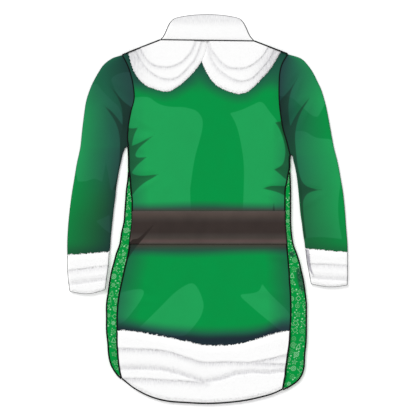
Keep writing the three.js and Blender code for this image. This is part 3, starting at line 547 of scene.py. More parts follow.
PANEL_COLUMNS = 126
CHEST_ROWS = 74
LOWER_ROWS = 146
shoulder_x = np.array([ARMHOLES[0][0], NECK_LEFT[0], NECK_RIGHT[0], ARMHOLES[0][2]], float)
shoulder_y = np.array([ARMHOLES[0][1], NECK_LEFT[1], NECK_RIGHT[1], ARMHOLES[0][3]], float)


def top_edge(share):
    """Shoulder line, neck seam and shoulder line, even in x."""
    x = shoulder_x[0] + (shoulder_x[-1] - shoulder_x[0]) * share
    return np.stack([x, np.interp(x, shoulder_x, shoulder_y)], -1)


def band_edge(share):
    """The hem band's upper edge: a straight line between the side seams that sags by its table."""
    left, right = seam_x("left", BAND_START), seam_x("right", BAND_START)
    drop = along(HEM_CURVES, share)[..., 0]
    return np.stack([left + (right - left) * share, BAND_START - drop], -1)


def panel_plan(gap):
    """Panel from the neck to the hem band: a patch for the chest, then level lines that come to sag."""
    across = np.linspace(0, 1, PANEL_COLUMNS)
    armpits = straight(ARMHOLES[-1][:2], ARMHOLES[-1][2:])
    left_edge, right_edge = lambda v: armhole("left", v), lambda v: armhole("right", v)
    chest = patch(top_edge, armpits, left_edge, right_edge, across, np.linspace(0, 1, CHEST_ROWS))
    down = np.linspace(0, 1, LOWER_ROWS)[1:]
    left_y = ARMHOLES[-1][1] + (BAND_START - ARMHOLES[-1][1]) * down
    right_y = ARMHOLES[-1][3] + (BAND_START - ARMHOLES[-1][3]) * down
    left = np.stack([seam_x("left", left_y), left_y], -1)[:, None]
    right = np.stack([seam_x("right", right_y), right_y], -1)[:, None]
    lower = (1 - across[None, :, None]) * left + across[None, :, None] * right
    sag = soft_fall(lower[..., 1], BAND_START, BELT_LOW - 20)
    lower[..., 1] -= sag * along(HEM_CURVES, across)[None, :, 0]
    plan = np.vstack([chest, lower])
    plan[:, 0, 0] += gap
    plan[:, -1, 0] -= gap
    plan[-1, :, 1] += gap
    return plan


# Rims of the two collar lobes, with the corner that they spread from: x, y
LOBE_RIMS = [
    [(-112, 405.2), (-189.5, 375.2), (-184, 352), (-176, 330), (-162, 309), (-146, 296), (-126, 288),
     (-103, 282), (-84, 286), (-66, 298), (-48, 313), (-30, 333), (-14, 355), (-6, 371), (1, 403.6)],
    [(111, 402.2), (1.1, 403.4), (-6, 371), (-13.4, 355), (-6, 337), (3, 319), (16, 302), (32, 291),
     (53, 282), (72, 277), (90, 279), (107, 290), (129, 312), (152, 338), (176, 377.6)],
]
# Painted shade and brown painted shade beside the belt: reach of the painted shade, how much farther it goes
# where it is widest, that x and the half width there, then strength, reach and power of the brown painted
# shade
ABOVE_BELT = (21.5, 5, -10, 90, 0.75, 6.5, 1.3)
BELOW_BELT = (28, 7, -60, 120, 0.85, 10.5, 1.8)
# How fast the painted shade beside the belt falls off and its most, then the painted shade below the collar
# lobes, above the band and across the yoke
BELT_SHADE_SLOPE = 0.04
BELT_SHADE_MOST = 0.74
LOBE_SHADE = 0.6
LOBE_SHADE_REACH = 28
BAND_SHADE_REACH = 38
YOKE_SHADE = 0.68


def together(*shares):
    """Several shades over one another: 1 less the product of what each one leaves."""
    left = 1.0
    for share in shares:
        left = left * (1 - np.clip(share, 0, 1))
    return 1 - left


def beside_belt(x, from_belt, reach, more, widest, half_width, brown_strength, brown_reach, power):
    """Painted shade that falls evenly with the distance from the belt, and brown painted shade, the
    exponential of a power of it.
    """
    farthest = reach + more * bell(x, widest, half_width)
    dusk = np.clip(BELT_SHADE_SLOPE * (farthest - from_belt), 0, BELT_SHADE_MOST)
    return np.stack([dusk, brown_strength * np.exp(-((from_belt / brown_reach) ** power))])


def body_fields(x, y):
    """Painted light on the body: distances inside painted sheen patches and painted crease shade, and painted
    shade beside collar, belt, band and side seams.

    Each painted shade falls off with the distance from its edge: straight below the lobes, beside the seams
    and beside the belt, and as an S curve above the band, widest just right of the middle. Beside the belt a
    brown painted shade is added."""
    hem = along(HEM_CURVES, np.linspace(0, 1, 60))
    above_band = y - BAND_START + np.interp(x, hem[:, 1], hem[:, 0])
    from_seam = np.minimum(x - seam_x("left", y), seam_x("right", y) - x)
    above_belt = y > (BELT_LOW + BELT_HIGH) / 2
    from_belt = np.maximum(np.where(above_belt, y - BELT_HIGH, BELT_LOW - y), 0)
    beside = [beside_belt(x, from_belt, *sizes) for sizes in (ABOVE_BELT, BELOW_BELT)]
    belt_shade, warm = np.where(above_belt, *beside)
    below_belt = soft_step(-y, -BELT_LOW - 10, -BELT_LOW + 20)
    near_band = 16 * bell(x, 40, 110)
    near_lobes = (LOBE_SHADE * (1 + inside_distance(x, y, rim) / LOBE_SHADE_REACH) for rim in LOBE_RIMS)
    seam_shade = (0.4 + 0.18 * below_belt) * (1 - from_seam / (42 + 14 * below_belt))
    dusk = together(
        *(np.clip(share, 0, LOBE_SHADE) for share in near_lobes),
        soft_fall(above_band, near_band, near_band + BAND_SHADE_REACH),
        belt_shade,
        seam_shade * (1 - 0.6 * soft_step(y, 120, 220)),
        YOKE_SHADE * soft_step(y, 272, 312) * (1 - 0.5 * soft_step(from_seam, 10, 70)),
    )
    return {
        "shine_mm": best_of(x, y, SHINE_PATCHES[:5]),
        "crease_mm": best_of(x, y, [CREASE_SHAPES[0], *CREASE_SHAPES[3:]]),
        "dusk": dusk,
        "slate": np.ones_like(x),
        "warm": warm,
    }


def creased_top(fields):
    """The back's upper face with its sharp creases pressed in, by an S curve of the distance inside."""
    def height(x, y):
        """The pressed face, never lower than one cloth above the front's."""
        pressed = back_top(x, y) - PRESSED_CREASE * soft_step(fields(x, y)["crease_mm"], -3, 6)
        return np.maximum(pressed, front_top(x, y) + SEAM_GAP + CLOTH)
    return height


back_plan = panel_plan(HALF_GAP)
back_outer = raise_plan(back_plan, creased_top(body_fields))
back_panel = wall("back_panel", back_outer, back_outer - (0, 0, CLOTH), fields=body_fields)
back_panel.data.materials.append(velour)
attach(back_panel, "root")
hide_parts("back_body")


# Front panel
# The same cut in the same velour, lying face down under the back. It is hidden, and is finished plainly.
front_outer = raise_plan(back_plan, front_top)
front_panel = wall("front_panel", front_outer, front_outer - (0, 0, CLOTH), fields=body_fields)
front_panel.data.materials.append(velour)
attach(front_panel, "root")
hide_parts("front_body")


# Side panels
# A strip of printed velour on each side, folded round the outline from the front seam to the back seam.
# Its print is a dense small winter repeat of spirals, rings, flakes, fir trees and stars in pale green.
NARROWEST_FOLD = 3.4
SIDE_ROWS = 176
SIDE_ENDS = {"left": (147, -400), "right": (128, -429)}
OUTWARD = {"left": -1, "right": 1}
STRIP_CREASE_SHADE = 0.75
MOTIF_CELL = 0.0185
DOT_CELL = 0.0085
FLECK_CELL = 0.006
LINE = 0.038
PRINT_GROUND = linear(0, 148, 62)
PRINT_PALE = linear(166, 224, 180)
# Folds at the outline from the armpit down: y, left x, right x
FOLDS = [
    (150, -193, 201), (120, -191.5, 199.5), (98, -191.5, 199.5), (74, -192.5, 200), (48, -196, 201),
    (22, -198, 201), (-5, -200, 201), (-31, -202, 201), (-58, -208, 203), (-84, -212, 207), (-106, -220, 215),
    (-128, -226, 222), (-150, -232, 227), (-172, -236, 232), (-200, -240, 236), (-228, -244, 239),
    (-258, -244, 239), (-292, -244, 239), (-322, -241, 238), (-350, -239, 235), (-372, -234, 234),
    (-386, -227, 232), (-400, -217, 227), (-415, -206, 215), (-429, -200, 194),
]
# Painted shade of a crease on the right strip, in two patches: x, y
STRIP_CREASE_SHADES = [
    [(213, -142), (222, -140), (231, -166), (235, -196), (226, -200), (218, -184), (212, -160)],
    [(195, -103), (206, -101), (211, -109), (205, -117), (196, -112)],
]

printed, printed_tree, printed_shader = new_material("printed_velour")
strip = field_node(printed_tree, "strip", "Vector")


def maths(operation, *values):
    """One sum in the print's tree, as a socket."""
    return sum_node(printed_tree, operation, *values)


def product(*values):
    """The product of two or more values."""
    result = values[0]
    for value in values[1:]:
        result = maths("MULTIPLY", result, value)
    return result


def size_of(value):
    """A value without its sign."""
    return maths("ABSOLUTE", value)


def scatter(cell, jitter, turn, shift):
    """Cells over the strip: the place in each cell from its own moved centre, the reach, and two chances."""
    sockets = {
        "Vector": strip,
        "Location": (shift, shift * 0.7, 0),
        "Rotation": (0, 0, turn),
        "Scale": (1 / cell, 1 / cell, 1),
    }
    scaled = add_node(printed_tree, "ShaderNodeMapping", sockets).outputs[0]
    whole = add_node(printed_tree, "ShaderNodeVectorMath", {0: scaled}, operation="FLOOR").outputs[0]
    noise = add_node(printed_tree, "ShaderNodeTexWhiteNoise", {"Vector": whole}).outputs
    chance = add_node(printed_tree, "ShaderNodeSeparateColor", {"Color": noise["Color"]}).outputs
    part = add_node(printed_tree, "ShaderNodeVectorMath", {0: scaled}, operation="FRACTION").outputs[0]
    place = add_node(printed_tree, "ShaderNodeSeparateXYZ", {"Vector": part}).outputs
    middle = 0.5 + jitter / 2
    x = maths("SUBTRACT", maths("MULTIPLY_ADD", chance["Red"], jitter, place["X"]), middle)
    y = maths("SUBTRACT", maths("MULTIPLY_ADD", chance["Green"], jitter, place["Y"]), middle)
    reach = maths("SQRT", maths("MULTIPLY_ADD", x, x, product(y, y)))
    return x, y, reach, chance["Blue"], noise["Value"]


def within(value, limit, soft):
    """1 where a value is under a limit, falling to 0 over a soft edge."""
    return spread(printed_tree, value, limit - soft, limit + soft, 1.0, 0.0)


def picked(chance, low, high, shape):
    """A shape where a chance lies between two ends, and nothing elsewhere."""
    chosen = product(maths("GREATER_THAN", chance, low), maths("LESS_THAN", chance, high))
    return product(shape, chosen)


def most(*shapes):
    """The strongest of several shapes."""
    best = shapes[0]
    for shape in shapes[1:]:
        best = maths("MAXIMUM", best, shape)
    return best


def ring(reach, size, line):
    """A ring line at a reach from the centre."""
    return within(size_of(maths("SUBTRACT", reach, size)), line, line * 0.6)


def flake(angle, reach, size, line):
    """Six straight arms and a small ring: an arm is where the reach times the sine of 3 angles is small."""
    wave = size_of(maths("SINE", product(angle, 3.0)))
    arms = product(within(product(wave, reach), line, line * 0.6), within(reach, size, line))
    return most(arms, ring(reach, size * 0.55, line * 0.7))


big_x, big_y, big_reach, big_kind, big_turn = scatter(MOTIF_CELL, 0.26, 0.12, 0.0)
big_angle = maths("MULTIPLY_ADD", big_turn, 6.28, maths("ARCTAN2", big_y, big_x))
swirl_wave = size_of(maths("SINE", maths("MULTIPLY_ADD", big_reach, 17.0, product(big_angle, 0.5))))
swirl = product(within(swirl_wave, 0.3, 0.2), within(big_reach, 0.34, 0.03))
bauble = most(ring(big_reach, 0.29, LINE), ring(big_reach, 0.12, LINE))
tree_slope = product(maths("SUBTRACT", 0.34, big_y), 0.42)
tree_edge = size_of(maths("SUBTRACT", size_of(big_x), tree_slope))
tree_sides = product(within(tree_edge, LINE, LINE), within(size_of(big_y), 0.32, 0.03))
tree_foot = within(size_of(maths("ADD", big_y, 0.3)), LINE, LINE)
fir = most(tree_sides, product(tree_foot, within(size_of(big_x), 0.27, 0.03)))
diamond = ring(maths("ADD", size_of(big_x), size_of(big_y)), 0.33, LINE)
star_limit = maths("MULTIPLY_ADD", maths("COSINE", product(big_angle, 5.0)), 0.1, 0.2)
star = within(size_of(maths("SUBTRACT", big_reach, star_limit)), LINE, LINE)
big_print = most(
    picked(big_kind, -1.0, 0.22, swirl),
    picked(big_kind, 0.22, 0.38, bauble),
    picked(big_kind, 0.38, 0.6, flake(big_angle, big_reach, 0.34, 1.3 * LINE)),
    picked(big_kind, 0.6, 0.76, fir),
    picked(big_kind, 0.76, 0.88, diamond),
    picked(big_kind, 0.88, 2.0, star),
)
dot_reach, dot_kind, dot_size = scatter(DOT_CELL, 0.45, 0.6, 0.13)[2:]
dot_edge = maths("SUBTRACT", dot_reach, product(dot_size, 0.1))
dots = picked(dot_kind, -1.0, 0.6, within(dot_edge, 0.13, 0.05))
fleck_reach, fleck_kind = scatter(FLECK_CELL, 0.5, 1.1, 0.29)[2:4]
flecks = picked(fleck_kind, -1.0, 0.3, within(fleck_reach, 0.14, 0.06))
spots = most(dots, product(flecks, maths("GREATER_THAN", dot_reach, 0.36)))
clear_spots = product(spots, maths("GREATER_THAN", big_reach, 0.4))
big_strength = maths("MULTIPLY_ADD", big_turn, 0.3, 0.4)
pale = most(product(big_print, big_strength), product(clear_spots, 0.85))
print_colour = blend(printed_tree, pale, PRINT_GROUND, PRINT_PALE)
# Painted shade of a crease on the right strip, over the print
print_shade = blend(printed_tree, field_node(printed_tree, "dusk"), print_colour, PAINTED_SHADE_DEEP)
finish_velour(printed_tree, printed_shader, print_shade)


def fold_x(side, y):
    """Where a side panel's fold lies at a height: a smooth line through its table."""
    line = along(FOLDS, np.linspace(0, 1, SEAM_READINGS))
    return np.interp(-y, -line[:, 0], line[:, 1 if side == "left" else 2])


def side_section(side, inwards):
    """Strip round the outline: over the front from its seam, a half round turn at the fold, over the back."""
    outward = OUTWARD[side]
    y = np.linspace(*SIDE_ENDS[side], SIDE_ROWS)
    seam = seam_x(side, y) + outward * HALF_GAP
    fold = outward * np.maximum(outward * fold_x(side, y), outward * seam + NARROWEST_FOLD)
    high = back_top(fold, y)
    half = (high / 2)[:, None]
    angles = np.radians(np.linspace(-90, 90, 9))[None]
    turn_x = fold[:, None] - outward * (half - (half - inwards) * np.cos(angles))
    turn_z = half + (half - inwards) * np.sin(angles)
    flat = np.linspace(0, 1, 8)[None, :-1]
    flat_x = seam[:, None] + (fold[:, None] - outward * half - seam[:, None]) * flat
    rows_y = np.broadcast_to(y[:, None], flat_x.shape)
    under_z = front_under(flat_x, rows_y) + inwards
    over_x = flat_x[:, ::-1]
    over_z = back_top(over_x, rows_y) - inwards
    x = np.hstack([flat_x, turn_x, over_x])
    z = np.hstack([under_z, turn_z, over_z])
    section = np.dstack([x, np.broadcast_to(y[:, None], x.shape), z])
    return section if side == "left" else section[:, ::-1]


for side in ("left", "right"):
    outside = side_section(side, 0.0)
    steps = np.hypot(*np.diff(outside[..., [0, 2]], axis=1).transpose(2, 0, 1))
    travelled = np.hstack([np.zeros((len(outside), 1)), np.cumsum(steps, 1)])
    strip_place = np.dstack([travelled, outside[..., 1], np.zeros_like(travelled)]).reshape(-1, 3) * MM

    def side_fields(x, y, side=side, strip_place=strip_place):
        """Place on the strip in metres, and the painted shade of a crease on the right strip."""
        strip_crease = soft_step(best_of(x, y, STRIP_CREASE_SHADES), -2, 3)
        dusk = STRIP_CREASE_SHADE * strip_crease if side == "right" else 0 * x
        return {"strip": np.vstack([strip_place, strip_place]), "dusk": dusk}

    panel = wall(f"side_strip_{side}", outside, side_section(side, CLOTH), fields=side_fields)
    panel.data.materials.append(printed)
    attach(panel, "root")
    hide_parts(f"side_panel_{side}")


# Sleeves
# Each is one piece of the same velour with its seam under the arm, lying as a flattened tube. Painted shade
# takes it from light green at the outside to slate towards the armhole, and two long sharp creases by the
# shoulder are pressed in and get painted shade.
SLEEVE_ROWS = 150
TUBE_TURNS = np.radians([-75, -50, -25, 0, 25, 50, 75])
# Folds from the armhole to the cuff seam: outer x, outer y, inner x, inner y
SLEEVES = {
    "left": [
        (-205, 370, -189.5, 150), (-229, 362, -197, 147), (-248, 348, -200, 141), (-261, 330, -204, 130),
        (-275, 305, -207, 116), (-284, 284, -210, 103), (-291, 262, -213, 88), (-295, 240, -216, 70),
        (-298, 217, -219, 52), (-302, 184, -221, 30), (-306, 147, -224, 8), (-314, 110, -226, -9),
        (-320, 74, -228, -28), (-326, 38, -230, -47), (-331, 0, -232, -66), (-335, -41, -233, -84),
        (-337, -78, -234, -95), (-337, -112, -235, -104),
    ],
    "right": [
        (193, 372, 198, 131), (224, 362, 205, 126), (241, 346, 206, 117), (254, 327, 208, 109),
        (265, 305, 210, 101), (273, 288, 212, 91), (279, 269, 214, 80), (285, 247, 216, 64),
        (291, 217, 218, 46), (297, 184, 220, 24), (304, 147, 222, 0), (313, 112, 224, -18),
        (320, 74, 227, -38), (326, 38, 229, -55), (330, 0, 231, -69), (333, -41, 233, -80),
        (336, -78, 234, -89), (337, -105, 235, -96),
    ],
}


def tube(plan, under, top, side_wall):
    """Flattened tube round a plan whose outer columns are its folds: over the top, round, and back."""
    def fold(edge, neighbour, angles):
        """Half round turn at one fold, its radius half the height there."""
        here, there = plan[:, edge], plan[:, neighbour]
        reach = np.hypot(*(there - here).T)[:, None]
        low = under(here[:, 0], here[:, 1])[:, None]
        half = (top(here[:, 0], here[:, 1])[:, None] - low) / 2
        share = ((half + side_wall - half * np.cos(angles)) / reach)[..., None]
        place = here[:, None] * (1 - share) + there[:, None] * share
        return np.dstack([place, low + half + half * np.sin(angles)])
    middle = plan[:, 1:-1]
    over = np.dstack([middle, top(middle[..., 0], middle[..., 1])])
    back = np.dstack([middle, under(middle[..., 0], middle[..., 1])])[:, ::-1]
    return np.hstack([fold(0, 1, TUBE_TURNS), over, fold(-1, -2, TUBE_TURNS[::-1]), back])


def sleeve_fields(side):
    """Painted light on a sleeve: sheen patches, crease shade, and painted shade that grows towards the
    armhole and the inner fold.
    """
    rows = along(SLEEVES[side], np.linspace(0, 1, 400))
    first = 0 if side == "left" else 2
    shines = SHINE_PATCHES[5:6] + SHINE_PATCHES[8:] if side == "left" else SHINE_PATCHES[6:8]
    shapes = CREASE_SHAPES[1:2] if side == "left" else CREASE_SHAPES[2:3]

    def fields(x, y):
        """Painted shade by the share from outer to inner fold, and more by the cuff and along the outer fold.
        """
        outer = np.abs(np.interp(-y, -rows[:, 1], rows[:, 0]))
        inner = np.abs(np.interp(-y, -rows[:, 3], rows[:, 2]))
        seam = np.abs(np.interp(-y, -np.array(ARMHOLES)[:, 1 + first], np.array(ARMHOLES)[:, first]))
        inner = np.where(y > rows[0, 3], seam, inner)
        share = (outer - np.abs(x)) / np.maximum(outer - inner, 1)
        if side == "left":
            low = 0.13 + 0.5 * soft_step(y, 205, 345) + 0.2 * soft_step(-y, -60, 60)
            high = 0.93
            share = np.clip(share, 0, 1) ** (1 - 0.35 * soft_step(y, 0, 240))
        else:
            low = 0.02 + 0.34 * soft_step(y, 255, 335) + 0.12 * soft_step(-y, 0, 70)
            high = 0.66 + 0.3 * soft_step(y, 130, 230)
        dusk = together(
            low + (high - low) * np.clip(share, 0, 1),
            0.48 * bell(y, -106, 19),
            0.75 * bell(outer, np.abs(x), 1.4),
        )
        return {
            "shine_mm": best_of(x, y, shines),
            "crease_mm": best_of(x, y, shapes),
            "dusk": dusk,
            # Where the middle painted shade turns from green to teal
            "slate": soft_step(y, -10, 120),
        }
    return fields


tube_across = np.concatenate([[0], np.linspace(0.045, 0.955, 42), [1]])
for side in ("left", "right"):
    rows = SLEEVES[side]
    plan = patch(
        lambda u: armhole(side, u),
        straight(rows[-1][:2], rows[-1][2:]),
        lambda v: along(rows, v)[..., :2],
        lambda v: along(rows, v)[..., 2:],
        tube_across,
        np.linspace(0, 1, SLEEVE_ROWS),
    )
    plan[0, :, 0] += OUTWARD[side] * HALF_GAP
    plan[-1, :, 1] += HALF_GAP
    if side == "right":
        plan = plan[:, ::-1]
    nap = sleeve_fields(side)
    high = creased_top(nap)
    outside = tube(plan, front_under, high, 0.0)
    inside = tube(plan, front_top, lambda x, y: high(x, y) - CLOTH, CLOTH)
    sleeve = wall(f"sleeve_tube_{side}", outside, inside, ring=True, fields=nap)
    sleeve.data.materials.append(velour)
    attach(sleeve, "root")
    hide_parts(f"sleeve_{side}")


# Hem bands
# White short-pile plush sewn to the lower edge of back and front. The back one lies in soft folds across
# it, with painted grey shade in them, and its pile brushes up over the green cloth.
BAND_TOP = 12.4
BAND_UNDER = BACK_TOP - CLOTH
PLUSH_UNDER_WALL = 3.9
PILE = 1.6
RIM_RISE = 1.2
BAND_FOLD_DEPTH = 1.7
# Strength of the painted shade in the band's folds
BAND_FOLD_SHADE = 0.34
HEM_INWARDS = 2.6
# Columns and rows of the two bands
BAND_GRID = (126, 56)
FRONT_BAND_GRID = (60, 24)
# Pile on a face: count, heading, length and width. Pile along an edge: open side, count, length and width
BAND_FACE_PILE = (9000, -math.pi / 2, 3.6, 0.9)
BAND_EDGE_PILE = (-1, 1900, 5.0, 0.8)
PLUSH_WHITE = linear(254, 254, 254)
# Painted grey shade of the plush, used in its folds, below the lobe tiers, at the lobe ends and in the cuff
# crease
PLUSH_PAINTED_SHADE = linear(166, 164, 172)
HAIR_SCALE = (420.0, 90.0, 90.0)
TUFT_FLATNESS = 0.4
TUFT_CORNERS = (90, 210, 330)
TUFT_FACES = [
    (0, 3, 1), (1, 3, 4), (1, 4, 2), (2, 4, 5), (2, 5, 0), (0, 5, 3), (3, 6, 4), (4, 6, 5), (5, 6, 3),
    (0, 1, 2),
]
LOWEST_TIP = 0.4
CLUMP = 2.6
# Soft folds across the hem band: a line of x, y, and 1 where the plush above laps over it or -1 below
BAND_FOLDS = [
    ([(-222, -335), (-203, -335), (-126, -338), (-86, -344), (-53, -356), (-20, -366), (-1, -369), (47, -367),
      (106, -369), (198, -373)], 1),
    ([(109, -368), (149, -360), (198, -348)], 1),
    ([(-222, -385), (-203, -385), (-160, -384), (-113, -386), (-73, -395), (-33, -408), (-7, -417),
      (32, -410), (66, -398), (106, -393), (149, -395), (193, -389)], -1),
    ([(-210, -407), (-198, -407), (-149, -408), (-100, -411), (-53, -413), (-7, -417)], 1),
]
seeds = np.random.default_rng(41)

plush, plush_tree, plush_shader = new_material("white_plush")
plush_place = object_place(plush_tree)
plush_noise = noise_node(plush_tree, plush_place, 420.0, 3.0)
# The painted shade is broken into hair-like streaks by stretched noise
plush_hair = add_node(plush_tree, "ShaderNodeMapping", {"Vector": plush_place, "Scale": HAIR_SCALE})
plush_streak = noise_node(plush_tree, plush_hair.outputs[0], 1.0, 2.0)
plush_strength = spread(plush_tree, plush_streak, 0.3, 0.7, 0.5, 1.5)
plush_shade = sum_node(plush_tree, "MULTIPLY", field_node(plush_tree, "shade"), plush_strength)
plush_colour = blend(plush_tree, plush_shade, PLUSH_WHITE, PLUSH_PAINTED_SHADE)
plush_looks = {"Roughness": 0.95, "Specular IOR Level": 0.1, "Sheen Weight": 0.25}
finish_shader(plush_tree, plush_shader, plush_colour, plush_noise, 0.12, 0.0006, plush_looks)


def tufts(name, roots, leans, lengths, widths, shades):
    """Pile as flat three-sided grains: a small sunk base ring, a full ring at half length, a drooping tip."""
    ahead = leans / np.linalg.norm(leans, axis=1, keepdims=True)
    side = np.cross(ahead, (0.0, 0.0, 1.0)) + (1e-6, 0, 0)
    side /= np.linalg.norm(side, axis=1, keepdims=True)
    up = np.cross(side, ahead)
    length = lengths[:, None]
    width = widths[:, None]
    base = roots - 0.15 * length * ahead - 0.3 * width * np.array([0, 0, 1.0])
    middle = roots + 0.5 * length * ahead
    tip = roots + length * ahead - 0.18 * length * np.array([0, 0, 1.0])
    tip[:, 2] = np.maximum(tip[:, 2], LOWEST_TIP)
    corners = []
    for centre, size in ((base, 0.6), (middle, 0.95)):
        for angle in np.radians(TUFT_CORNERS):
            reach = math.cos(angle) * side + TUFT_FLATNESS * math.sin(angle) * up
            corners.append(centre + width * size * reach)
    corners.append(tip)
    points = np.stack(corners, 1).reshape(-1, 3)
    starts = len(corners) * np.arange(len(roots))[:, None, None]
    faces = (np.array(TUFT_FACES)[None] + starts).reshape(-1, 3)
    piece = build_mesh(name, points, faces, {"shade": np.repeat(shades, len(corners))})
    piece.data.materials.append(plush)
    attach(piece, "root")
    return piece


def surface_tufts(grid, shade, count, heading, length, width):
    """Random places, even over a grid of points: roots, leans mostly one way, sizes and painted shades.

    Each painted shade is the grid's own, up to one row away, so that the folds get a ragged edge."""
    rows, columns = grid.shape[:2]
    down = np.linalg.norm(np.diff(grid, axis=0)[:, :-1], axis=2)
    across = np.linalg.norm(np.diff(grid, axis=1)[:-1], axis=2)
    steps = down * across
    chosen = seeds.choice(steps.size, count, p=(steps / steps.sum()).ravel())
    row, column = np.divmod(chosen, columns - 1)
    a, b = seeds.random((2, count, 1))
    low = grid[row, column] * (1 - a) + grid[row, column + 1] * a
    high = grid[row + 1, column] * (1 - a) + grid[row + 1, column + 1] * a
    roots = low * (1 - b) + high * b
    angle = heading + seeds.normal(0, 0.7, count)
    tilt = seeds.uniform(0.0, 0.06, count)
    leans = np.stack([np.cos(angle), np.sin(angle), tilt], -1)
    size = seeds.uniform(0.75, 1.2, count)
    shade_row = np.clip(row + seeds.integers(-1, 2, count), 0, len(shade) - 1)
    return roots, leans, length * size, width * size, shade[shade_row, column]


def edge_tufts(line, turn, count, length, width):
    """White pile along an edge line: roots just inside it, in two layers, leaning out and a little aside.

    Out is the line's run turned by a quarter, to its right where turn is 1 and to its left where it is -1."""
    share = np.sort(seeds.random(count)) * (len(line) - 1)
    row = np.minimum(share.astype(int), len(line) - 2)
    part = (share - row)[:, None]
    run = line[row + 1] - line[row]
    run = run / np.maximum(np.linalg.norm(run, axis=1, keepdims=True), 1e-9)
    out = np.stack([run[:, 1], -run[:, 0], np.zeros(count)], -1) * turn
    roots = line[row] * (1 - part) + line[row + 1] * part - out * 1.2
    roots[:, 2] += seeds.integers(0, 2, count) * -1.4
    aside = seeds.normal(0, 0.35, (count, 1))
    leans = out + aside * run + np.array([0, 0, 0.02])
    whole = np.linalg.norm(np.diff(line, axis=0), axis=1).sum()
    clumps = seeds.uniform(0.3, 1.3, int(whole / CLUMP) + 2)
    clump = (share / (len(line) - 1) * (len(clumps) - 1)).astype(int)
    size = seeds.uniform(0.5, 1.1, count) * clumps[clump]
    return roots, leans, length * size, np.full(count, width), np.zeros(count)


def gather(*groups):
    """Several groups of tufts as one."""
    return [np.concatenate(parts) for parts in zip(*groups)]


def hem_edge(share, inwards=HEM_INWARDS):
    """The curved hem through its table, moved inwards along its own normal to leave room for the thread."""
    shares = [np.clip(share + step, 0, 1) for step in (-0.01, 0, 0.01)]
    before, line, after = (along(HEM_CURVES, moved)[..., 1:] for moved in shares)
    run = after - before
    run = run / np.hypot(run[..., 0], run[..., 1])[..., None]
    return line + inwards * np.stack([-run[..., 1], run[..., 0]], -1)


def seam_edge(side, start_y, end_y):
    """A side seam between two heights as an edge."""
    def edge(share):
        """Points on the seam at even heights."""
        y = start_y + (end_y - start_y) * share
        return np.stack([seam_x(side, y), y], -1)
    return edge


def band_plan(columns, rows):
    """Hem band between its upper edge, the hem and the side seams."""
    return patch(
        band_edge,
        hem_edge,
        seam_edge("left", BAND_START, HEM_CURVES[0][2] + HEM_INWARDS),
        seam_edge("right", BAND_START, HEM_CURVES[-1][2] + HEM_INWARDS),
        np.linspace(0, 1, columns),
        np.linspace(0, 1, rows),
    )


def fold_depths(x, y, folds):
    """Depth of the folds at a point: a bell across each line, steep on the lapped side, slow on the other."""
    depths = []
    for line, lapped in folds:
        points = np.asarray(line, float)
        across = (y - np.interp(x, points[:, 0], points[:, 1])) * lapped
        ends = np.maximum(np.maximum(points[0, 0] - x, x - points[-1, 0]), 0)
        depths.append(np.exp(-((across / np.where(across > 0, 1.8, 10.0)) ** 2) - (ends / 12) ** 2))
    return np.max(depths, 0)


def greyed(shade):
    """The field of a plush whose painted shade a function gives from x and y."""
    return lambda x, y: {"shade": shade(x, y)}


def band_shade(x, y):
    """Painted shade in the folds."""
    return BAND_FOLD_SHADE * fold_depths(x, y, BAND_FOLDS)


def band_height(plan):
    """Plush face: full height less the folds, rounded down to the cloth at the upper edge and at the hem."""
    x, y = plan[..., 0], plan[..., 1]
    share = np.broadcast_to(np.linspace(0, 1, plan.shape[0])[:, None], x.shape)
    rounding = soft_step(share, -0.03, 0.1) * soft_fall(share, 0.92, 1.03)
    full = BAND_TOP - PILE - BAND_FOLD_DEPTH * fold_depths(x, y, BAND_FOLDS)
    return BACK_TOP + RIM_RISE + (full - BACK_TOP - RIM_RISE) * rounding


band_grid = band_plan(*BAND_GRID)
band_grid[0, :, 1] -= HALF_GAP
band_outer = np.dstack([band_grid, band_height(band_grid)])
band_inner = raise_plan(band_grid, even(BAND_UNDER))
hem_back = wall("hem_plush_back", band_outer, band_inner, fields=greyed(band_shade))
band_face = band_outer[:-2, 3:-3]
band_greys = band_shade(*band_outer[:, 3:, :2].transpose(2, 0, 1))
band_face_pile = surface_tufts(band_face, band_greys, *BAND_FACE_PILE)
band_edge_pile = edge_tufts(band_outer[0, 2:-2], *BAND_EDGE_PILE)
hem_pile = tufts("hem_pile_back", *gather(band_face_pile, band_edge_pile))
front_band_grid = band_plan(*FRONT_BAND_GRID)
front_band_grid[0, :, 1] -= HALF_GAP
front_band_outer = raise_plan(front_band_grid, even(PLUSH_UNDER_WALL))
hem_front = wall("hem_plush_front", front_band_outer, front_band_outer * (1, 1, 0), fields=greyed(even(0)))
for piece, node in ((hem_back, "hem_band_back"), (hem_front, "hem_band_front")):
    piece.data.materials.append(plush)
    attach(piece, "root")
    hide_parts(node)


# Cuffs
# Tubes of the same plush, sewn to the sleeve ends. Each has two soft folds round it with painted grey shade
# in them, and its pile brushes up over the green of the sleeve.
CUFF_TOP = 12.4
CUFF_ROWS = 40
CUFF_FACE_PILE = (2300, -math.pi / 2, 3.4, 0.9)
CUFF_EDGE_PILE = (-1, 520, 4.8, 0.8)
CUFF_FOLD_DEPTH = 1.5
# Strength of the painted shade in the cuff folds
CUFF_FOLD_SHADE = 0.22
# Both ends of a cuff are rounded down: what stands above the first is taken to this share of it
RIM_START = 7
RIM_SHARE = 0.35
# Folds from the sleeve end down: left x, left y, right x, right y, bulge of the end
CUFFS = {
    "left": [
        (-337, -112, -235, -104, 0), (-337, -140, -237, -133, 2), (-335, -170, -241, -163, 5),
        (-331, -198, -245, -194, 8),
    ],
    "right": [
        (235, -96, 337, -105, 0), (238, -125, 337, -132, 2), (243, -153, 337, -159, 4),
        (248, -180, 336, -183, 6),
    ],
}
